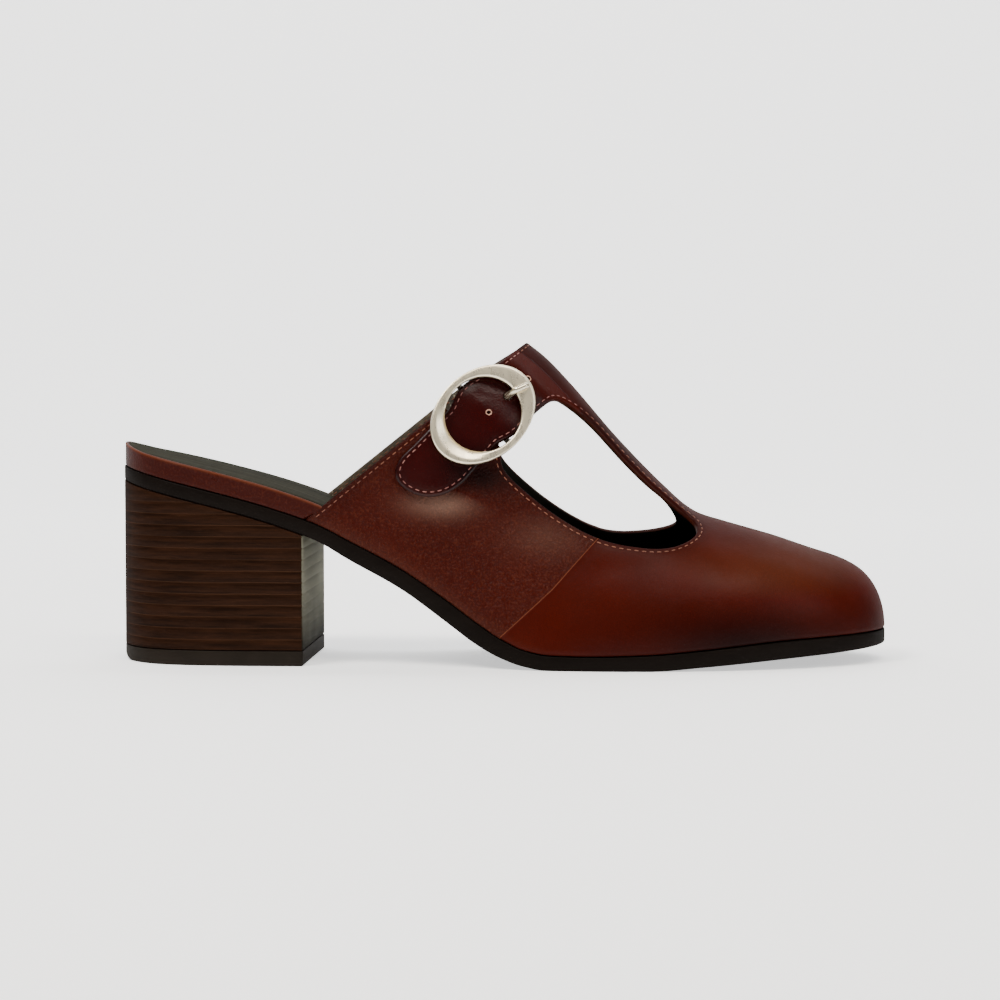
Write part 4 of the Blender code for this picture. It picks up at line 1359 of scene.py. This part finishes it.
def loft(name, inset, levels, materials, marks=()):
    """Closed body between level lines round the sole; its caps are ruled across."""
    lines = []
    for extra, height, shift in levels:
        def level_inset(x, medial):
            return inset(x, medial, height(x) + shift - sole_top(x)) + extra

        lateral, medial = sole_sides(level_inset, marks)
        lines.append([
            np.column_stack([side, height(side[:, 0]) + shift]) for side in (lateral, medial)])
    count = len(lines[0][0])
    points = [point for sides in lines for side in sides for point in side]
    faces = []
    for k in range(2 * len(lines) - 2):
        faces += ribbon(k * count, count, 2 * count, mirrored=k % 2)
    for (lateral, medial), upper in ((lines[0], False), (lines[-1], True)):
        for t in np.linspace(0, 1, CAP_COLUMNS + 1):
            if t > 0:
                faces += ribbon(len(points) - count, count, count, mirrored=upper)
            points += list(lateral * (1 - t) + medial * t)
    thing = add_object(name, points, faces, materials)
    weld(thing, 2e-6)
    sharpen(thing, 50)
    return thing


def no_inset(x, medial, rise=0):
    return np.zeros_like(x)


def build_sole():
    """Outsole, insole rim and sock."""
    levels = rounded_levels(sole_bottom, lambda x: sole_top(x) - GAP, 0.0005, 0.0004)
    outsole = loft("outsole_dressed", no_inset, levels, [SOLE_EDGE])
    dress(outsole, "outsole")

    def board_top(x):
        return sole_top(x) + board_thickness(x)

    def lip_top(x):
        return board_top(x) + GAP + SOCK - 0.0001

    def between(t):
        return lambda x: sole_top(x) + 0.0004 + t * (lip_top(x) - sole_top(x) - 0.0010)

    levels = rounded_levels(sole_top, lip_top, 0.0004, 0.0006, 5)
    levels[6:6] = [(0, between(i / 9), 0) for i in range(1, 9)]
    levels.append((SOCK_MARGIN - 0.0001, lip_top, 0))
    levels.append((SOCK_MARGIN - 0.0001, board_top, 0))
    rim = loft("insole_rim_leather", board_inset, levels, [RIM], BOARD_MARKS)
    spots = np.array([tuple(v.co) for v in rim.data.vertices])
    below = lip_top(spots[:, 0]) - spots[:, 2]
    # Painted highlight along the rim's top edge
    keep_values(rim, "pale", 0.50 * np.exp(-((below - 0.0003) / 0.0003) ** 2))
    dress(rim, "insole_rim")

    levels = rounded_levels(lambda x: board_top(x) + GAP,
                            lambda x: board_top(x) + GAP + SOCK, 0.0001, 0.0004, 3)

    def sock_inset(x, medial, rise):
        taper = smooth((x - MEDIAL_STEP) / SOCK_TAPER + 1)
        return GAP + SOCK_MARGIN + taper * (WALL + WALL_CLEARANCE - GAP)

    sock = loft("insole_sock_leather", sock_inset, levels, [SOCK_TOP])
    dress(sock, "insole_sock")


def heel_loop():
    """Closed plan of the heel: sole outline cut at the breast, with rounded corners."""
    turn = np.linspace(0, math.pi / 2, 7)
    sides = []
    for side, way in zip(sole_sides(no_inset, density=24), (-1, 1)):
        breast = X_BACK + HEEL_LENGTH + (HEEL_SKEW if way > 0 else 0)
        rear = side[:REAR_POINTS]
        cut = np.interp(breast, rear[:, 0], rear[:, 1])
        keep = side[side[:, 0] < breast - HEEL_CORNER]
        centre = np.array([breast - HEEL_CORNER, cut - way * HEEL_CORNER])
        bend = centre + HEEL_CORNER * np.stack([np.sin(turn), way * np.cos(turn)], axis=1)
        sides.append(np.concatenate([keep, bend]))
    lateral, medial = sides
    return np.concatenate([lateral, medial[:0:-1]])


def inset_loop(loop, distance):
    run = np.roll(loop, -1, axis=0) - np.roll(loop, 1, axis=0)
    return loop + left_of(run) * distance


def stack(name, loop, levels, materials):
    """Closed body whose plan is a loop, through (inset, height, shift) levels."""
    points = []
    for extra, height, shift in levels:
        ring = inset_loop(loop, extra)
        points += list(np.column_stack([ring, height(ring[:, 0]) + shift]))
    thing = add_object(name, points, tube_faces(len(levels), len(loop)), materials)
    with edited(thing) as shape:
        bmesh.ops.triangulate(shape, faces=[f for f in shape.faces if len(f.verts) > 4])
        bmesh.ops.recalc_face_normals(shape, faces=shape.faces)
    return thing


def build_heel():
    """Stacked heel block with level layers, and its top piece."""
    loop = heel_loop()
    low = TOP_PIECE + GAP

    def top(x):
        return sole_bottom(x) - GAP

    levels = rounded_levels(lambda x: np.full_like(x, low), top, 0.00025, 0.00025, 3)
    heel = stack("heel_stack", loop, levels, [STACK, BREAST])
    grooves = np.arange(TOP_PIECE + HEEL_LAYER, SEAT_HEIGHT - 0.010, HEEL_LAYER)
    with edited(heel) as shape:
        for level in grooves:
            for shift in (-GROOVE_HALF_WIDTH, 0.0, GROOVE_HALF_WIDTH):
                everything = shape.verts[:] + shape.edges[:] + shape.faces[:]
                bmesh.ops.bisect_plane(shape, geom=everything, dist=1e-7,
                                       plane_co=(0, 0, level + shift), plane_no=(0, 0, 1))
        shape.normal_update()
        for vert in shape.verts:
            on_groove = np.abs(grooves - vert.co.z).min() < 1e-6
            if on_groove and abs(vert.normal.z) < 0.2:
                vert.co -= vert.normal * GROOVE_DEPTH
    sharpen(heel, 62)
    for face in heel.data.polygons:
        face.material_index = int(face.normal.x > BREAST_FACING)
    spots = np.array([tuple(v.co) for v in heel.data.vertices])
    # Painted shade on the heel's rounded rear
    keep_values(heel, "edge", smooth(1 - (spots[:, 0] - X_BACK) / HEEL_REAR_SHADE_RUN))
    dress(heel, "heel")

    def ground(x):
        """Wear bevel at the rear of the lift."""
        return LIFT_WEAR * smooth(1 - (x - X_BACK) / LIFT_WEAR_RUN) ** 2

    levels = rounded_levels(ground, lambda x: np.full_like(x, TOP_PIECE), 0.0005, 0.0002, 3)
    lift = stack("heel_lift", loop, levels, [RUBBER])
    sharpen(lift, 50)
    dress(lift, "heel_top_piece")


# Buckle

def buckle_axes():
    """Origin and axes of the buckle: along the strap to the ridge, across it, outward."""
    origin = last_point(STRAP_STATION, BUCKLE_SHARE)
    outward = last_normal(STRAP_STATION, BUCKLE_SHARE)
    ahead = last_point(STRAP_STATION, BUCKLE_SHARE + 0.01)
    along = ahead - last_point(STRAP_STATION, BUCKLE_SHARE - 0.01)
    along = unit(along - outward * (along @ outward))
    return origin, along, np.cross(along, outward), outward


def place(points):
    """Buckle coordinates (along, across, outward) to the shoe's."""
    origin, along, across, outward = buckle_axes()
    points = np.asarray(points, float)
    return (origin + points[..., :1] * along + points[..., 1:2] * across
            + points[..., 2:3] * outward)


def rod(path, radii, guide):
    """Points and faces of a round rod along a path that lies square to the guide."""
    points = []
    for centre, ahead, radius in zip(path, unit(np.gradient(path, axis=0)), radii):
        side = unit(np.cross(ahead, guide))
        other = np.cross(side, ahead)
        for i in range(ROD_SIDES):
            turn = 2 * math.pi * i / ROD_SIDES
            points.append(centre + radius * (math.cos(turn) * side + math.sin(turn) * other))
    return points, tube_faces(len(path), ROD_SIDES)


def soften(path, rounds):
    """Cut the corners of a path; its ends stay."""
    path = np.asarray(path, float)
    for _ in range(rounds):
        near = path[:-1] * 0.75 + path[1:] * 0.25
        far = path[:-1] * 0.25 + path[1:] * 0.75
        middle = np.stack([near, far], axis=1).reshape(-1, 3)
        path = np.concatenate([path[:1], middle[1:-1], path[-1:]])
    return path


def frame_section():
    """Cross-section of the frame: share of the way from opening to rim, then height."""
    low, high = BUCKLE_UNDERSIDE, BUCKLE_TOP
    return [
        (0.00, low + 0.0009), (0.02, low + 0.00035), (0.07, low + 0.00008), (0.16, low),
        (0.50, low), (0.84, low), (0.93, low + 0.0001), (0.98, low + 0.0004),
        (1.00, low + 0.0009), (1.00, high - 0.0005), (0.990, high - 0.00022),
        (0.960, high - 0.00007), (0.92, high),
        *((percent / 100, high) for percent in range(84, 14, -10)),
        (0.15, high), (0.08, high - 0.00004), (0.03, high - 0.00015), (0.00, high - 0.0005),
    ]


def build_buckle():
    """Oval satin frame with its dropped centre bar."""
    section = frame_section()
    points = []
    for i in range(FRAME_RINGS):
        turn = 2 * math.pi * i / FRAME_RINGS
        c, s = math.cos(turn), math.sin(turn)
        rim = np.array([BUCKLE_LENGTH * c, BUCKLE_WIDTH * s]) / 2
        hole = np.array([BUCKLE_OPENING[0] * c, BUCKLE_OPENING[1] * s]) / 2
        dish = BUCKLE_DISH * smooth((-c - 0.45) / 0.5)
        for share, height in section:
            if height > BUCKLE_TOP - 0.0003:
                height -= dish * max(0.66 - share, 0) / 0.66 + 0.00018 * (2 * share - 1) ** 4
            flat = BUCKLE_CENTRE + hole + (rim - hole) * share
            points.append((flat[0], flat[1], height))
    size = len(section)
    faces, kinds = [], []
    for i in range(FRAME_RINGS):
        k = (i + 1) % FRAME_RINGS
        for j in range(size):
            m = (j + 1) % size
            faces.append((i * size + j, i * size + m, k * size + m, k * size + j))
            # Painted shade: the frame's walls and underside get a darker copy of the nickel
            kinds.append(int(max(section[j][1], section[m][1]) < BUCKLE_TOP - 0.0004))
    side = (BUCKLE_OPENING[1] + BUCKLE_WIDTH) / 4
    end = [
        (side, BUCKLE_UNDERSIDE + 0.0008), (side - 0.0001, 0.0010), (side - 0.0004, 0.0000),
        (side - 0.0011, BAR_DEPTH + 0.0006), (side - 0.0022, BAR_DEPTH + 0.0001),
        (side - 0.0034, BAR_DEPTH),
    ]
    middle = BUCKLE_CENTRE[1]
    path = [(0, middle - b, n) for b, n in end] + [(0, middle, BAR_DEPTH)]
    path += [(0, middle + b, n) for b, n in end[::-1]]
    path = soften(path, 2)
    bar_points, bar_faces = rod(path, np.full(len(path), BAR_RADIUS), (1, 0, 0))
    # Painted shade: the centre bar gets a darker copy of the nickel
    kinds += [2] * len(bar_faces)
    faces += [tuple(i + len(points) for i in f) for f in bar_faces]
    points += [tuple(p) for p in bar_points]
    buckle = add_object("buckle_frame_satin", place(points), faces,
                        [NICKEL, SHADED_SIDE_METAL, SHADED_BAR_METAL], kinds)
    weld(buckle)
    sharpen(buckle, 40)
    dress(buckle, "buckle_frame")


def build_prong():
    """Pin that starts as a ring on the bar and ends on the frame's far side."""
    centre = BAR_RADIUS + GAP + PRONG_RADIUS
    path = []
    for degrees in range(-40, -271, -15):
        turn = math.radians(degrees)
        path.append((centre * math.cos(turn), 0, BAR_DEPTH + centre * math.sin(turn)))
    share = HOLE_SHARES[1]
    outward = last_normal(STRAP_STATION, share)
    hole = off_last(STRAP_STATION, share, strap_offset(share) - WALL / 2)
    origin, *axes = buckle_axes()
    hole = np.array([(hole - origin) @ axis for axis in axes])
    outward = np.array([outward @ axis for axis in axes])
    far = BUCKLE_LENGTH / 2 + BUCKLE_CENTRE[0] + 0.0008
    radius = PRONG_SWELL * PRONG_RADIUS
    rest = BUCKLE_TOP + radius + 0.0001
    path += [
        (0.0020, 0, BAR_DEPTH + centre), hole - outward * 0.0030 - (0.0022, 0, 0),
        *(hole + outward * rise for rise in (-0.0021, -0.0010, 0.0010, 0.0020)),
        (far - 0.0066, 0.0006, rest),
        (far - 0.0050, 0.0010, rest), (far - 0.0024, 0.0018, rest),
    ]
    path = soften(path, 3)
    left = np.linalg.norm(path - path[-1], axis=1)
    radii = radius * (0.80 + 0.20 * smooth(left / 0.0003))
    points, faces = rod(path, radii, (0, 1, 0))
    prong = add_object("buckle_prong_polished", place(points), faces, [POLISHED])
    weld(prong)
    dress(prong, "buckle_prong")


# Studio

def aimed(thing, spot, target):
    """Put a lamp or camera in the scene, turned to its target."""
    thing.location = spot
    thing.rotation_mode = "QUATERNION"
    thing.rotation_quaternion = (Vector(target) - Vector(spot)).to_track_quat("-Z", "Y")
    bpy.context.scene.collection.objects.link(thing)


def area_light(name, spot, target, size, watts, colour):
    light = bpy.data.lights.new(name, "AREA")
    light.shape = "RECTANGLE"
    light.size, light.size_y = size
    light.energy = watts
    light.color = colour
    aimed(bpy.data.objects.new(name, light), spot, target)


def build_studio():
    """Pale sweep, soft lights and the camera."""
    depth = [(-2.6, 0.0), (-1.0, 0.0), (0.7, 0.0)]
    bend = 0.5
    for i in range(1, 13):
        turn = math.pi / 2 * i / 12
        depth.append((0.7 + bend * math.sin(turn), bend * (1 - math.cos(turn))))
    depth.append((0.7 + bend, 3.0))
    points = [(x, y, z) for x in (-3.0, 3.0) for y, z in depth]
    n = len(depth)
    faces = [(i, i + n, i + n + 1, i + 1) for i in range(n - 1)]
    floor = add_object("floor", points, faces, [FLOOR])

    for lamp in LAMPS:
        area_light(*lamp)

    world = bpy.data.worlds.new("soft_room")
    world.use_nodes = True
    background = world.node_tree.nodes["Background"]
    background.inputs["Color"].default_value = (1, 1, 1, 1)
    background.inputs["Strength"].default_value = ROOM_LIGHT
    bpy.context.scene.world = world

    camera = bpy.data.objects.new("camera", bpy.data.cameras.new("camera"))
    camera.data.lens = CAMERA_LENS
    camera.data.sensor_width = CAMERA_SENSOR
    camera.data.clip_start = 0.05
    aimed(camera, CAMERA_SPOT, CAMERA_AIM)
    bpy.context.scene.camera = camera


QUARTER = leather("visual_quarter", (0.027, 0.0019, 0.0003), (0.038, 0.0029, 0.0005),
                  (0.20, 0.062, 0.028), (0.29, 0.185, 0.135),
                  1500.0, 0.00050, 0.09, 0.26, 0.12)
VAMP = leather("visual_vamp", (0.026, 0.0015, 0.0003), (0.042, 0.0030, 0.0006),
               (0.10, 0.018, 0.006), (0.11, 0.037, 0.014), 1500.0, 0.00006, 0.02, 0.36, 0.125)
STRAP = leather("visual_strap", (0.013, 0.0003, 0.0002), (0.024, 0.0006, 0.0003),
                (0.08, 0.009, 0.004), (0.10, 0.030, 0.018), 1700.0, 0.00006, 0.03, 0.24, 0.30)
RIM = leather("visual_rim_leather", (0.018, 0.0011, 0.0003), (0.030, 0.0027, 0.0006),
              (0.18, 0.050, 0.020), (0.14, 0.040, 0.016), 1500.0, 0.00012, 0.06, 0.30, 0.18)
LINING = lining_leather()
CUT_EDGE = edge_paint()
HOLE_RIM = hole_rim_highlight()
FACING = facing_leather()
UPPER_SLOTS = [QUARTER, VAMP, STRAP, LINING, CUT_EDGE, HOLE_RIM, FACING]
THREAD = thread("visual_thread", (0.11, 0.028, 0.012), (0.22, 0.070, 0.030))
STRAP_THREAD = thread("visual_strap_thread", (0.13, 0.036, 0.030), (0.30, 0.125, 0.100))
STACK = stacked_leather()
BREAST = breast_sheen_and_shade()
SOLE_EDGE = clouded("visual_sole_edge", 90.0, 3.0, (0.0022, 0.0014, 0.0010),
                    (0.0060, 0.0040, 0.0030), 1300.0, 0.00003, (0.40, 0.54), (0.08, 0.40))
RUBBER = clouded("visual_lift", 110.0, 1.0, (0.0070, 0.0052, 0.0038),
                 (0.0160, 0.0120, 0.0088), 1500.0, 0.00004, (0.50, 0.66), (0.12, 0.45))
SOCK_TOP = sock_leather()
NICKEL = satin_nickel("visual_satin_nickel", (0.78, 0.69, 0.51), 0.24, 0.34, 0.88)
# Darker copies of the nickel: painted shade on the frame's walls and underside, and on the centre
# bar
SHADED_SIDE_METAL = satin_nickel("visual_shaded_side_nickel", (0.26, 0.22, 0.15), 0.26, 0.36, 0.85)
SHADED_BAR_METAL = satin_nickel("visual_shaded_bar_nickel", (0.20, 0.18, 0.15), 0.34, 0.46, 0.80)
POLISHED = satin_nickel("visual_polished_nickel", (0.66, 0.59, 0.44), 0.16, 0.24, 0.92)
FLOOR = floor_paper()

build_upper()
build_sole()
build_heel()
build_buckle()
build_prong()
loop_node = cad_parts["buckle_loop"]
for slot in loop_node.material_slots:
    slot.material = LINING
build_studio()
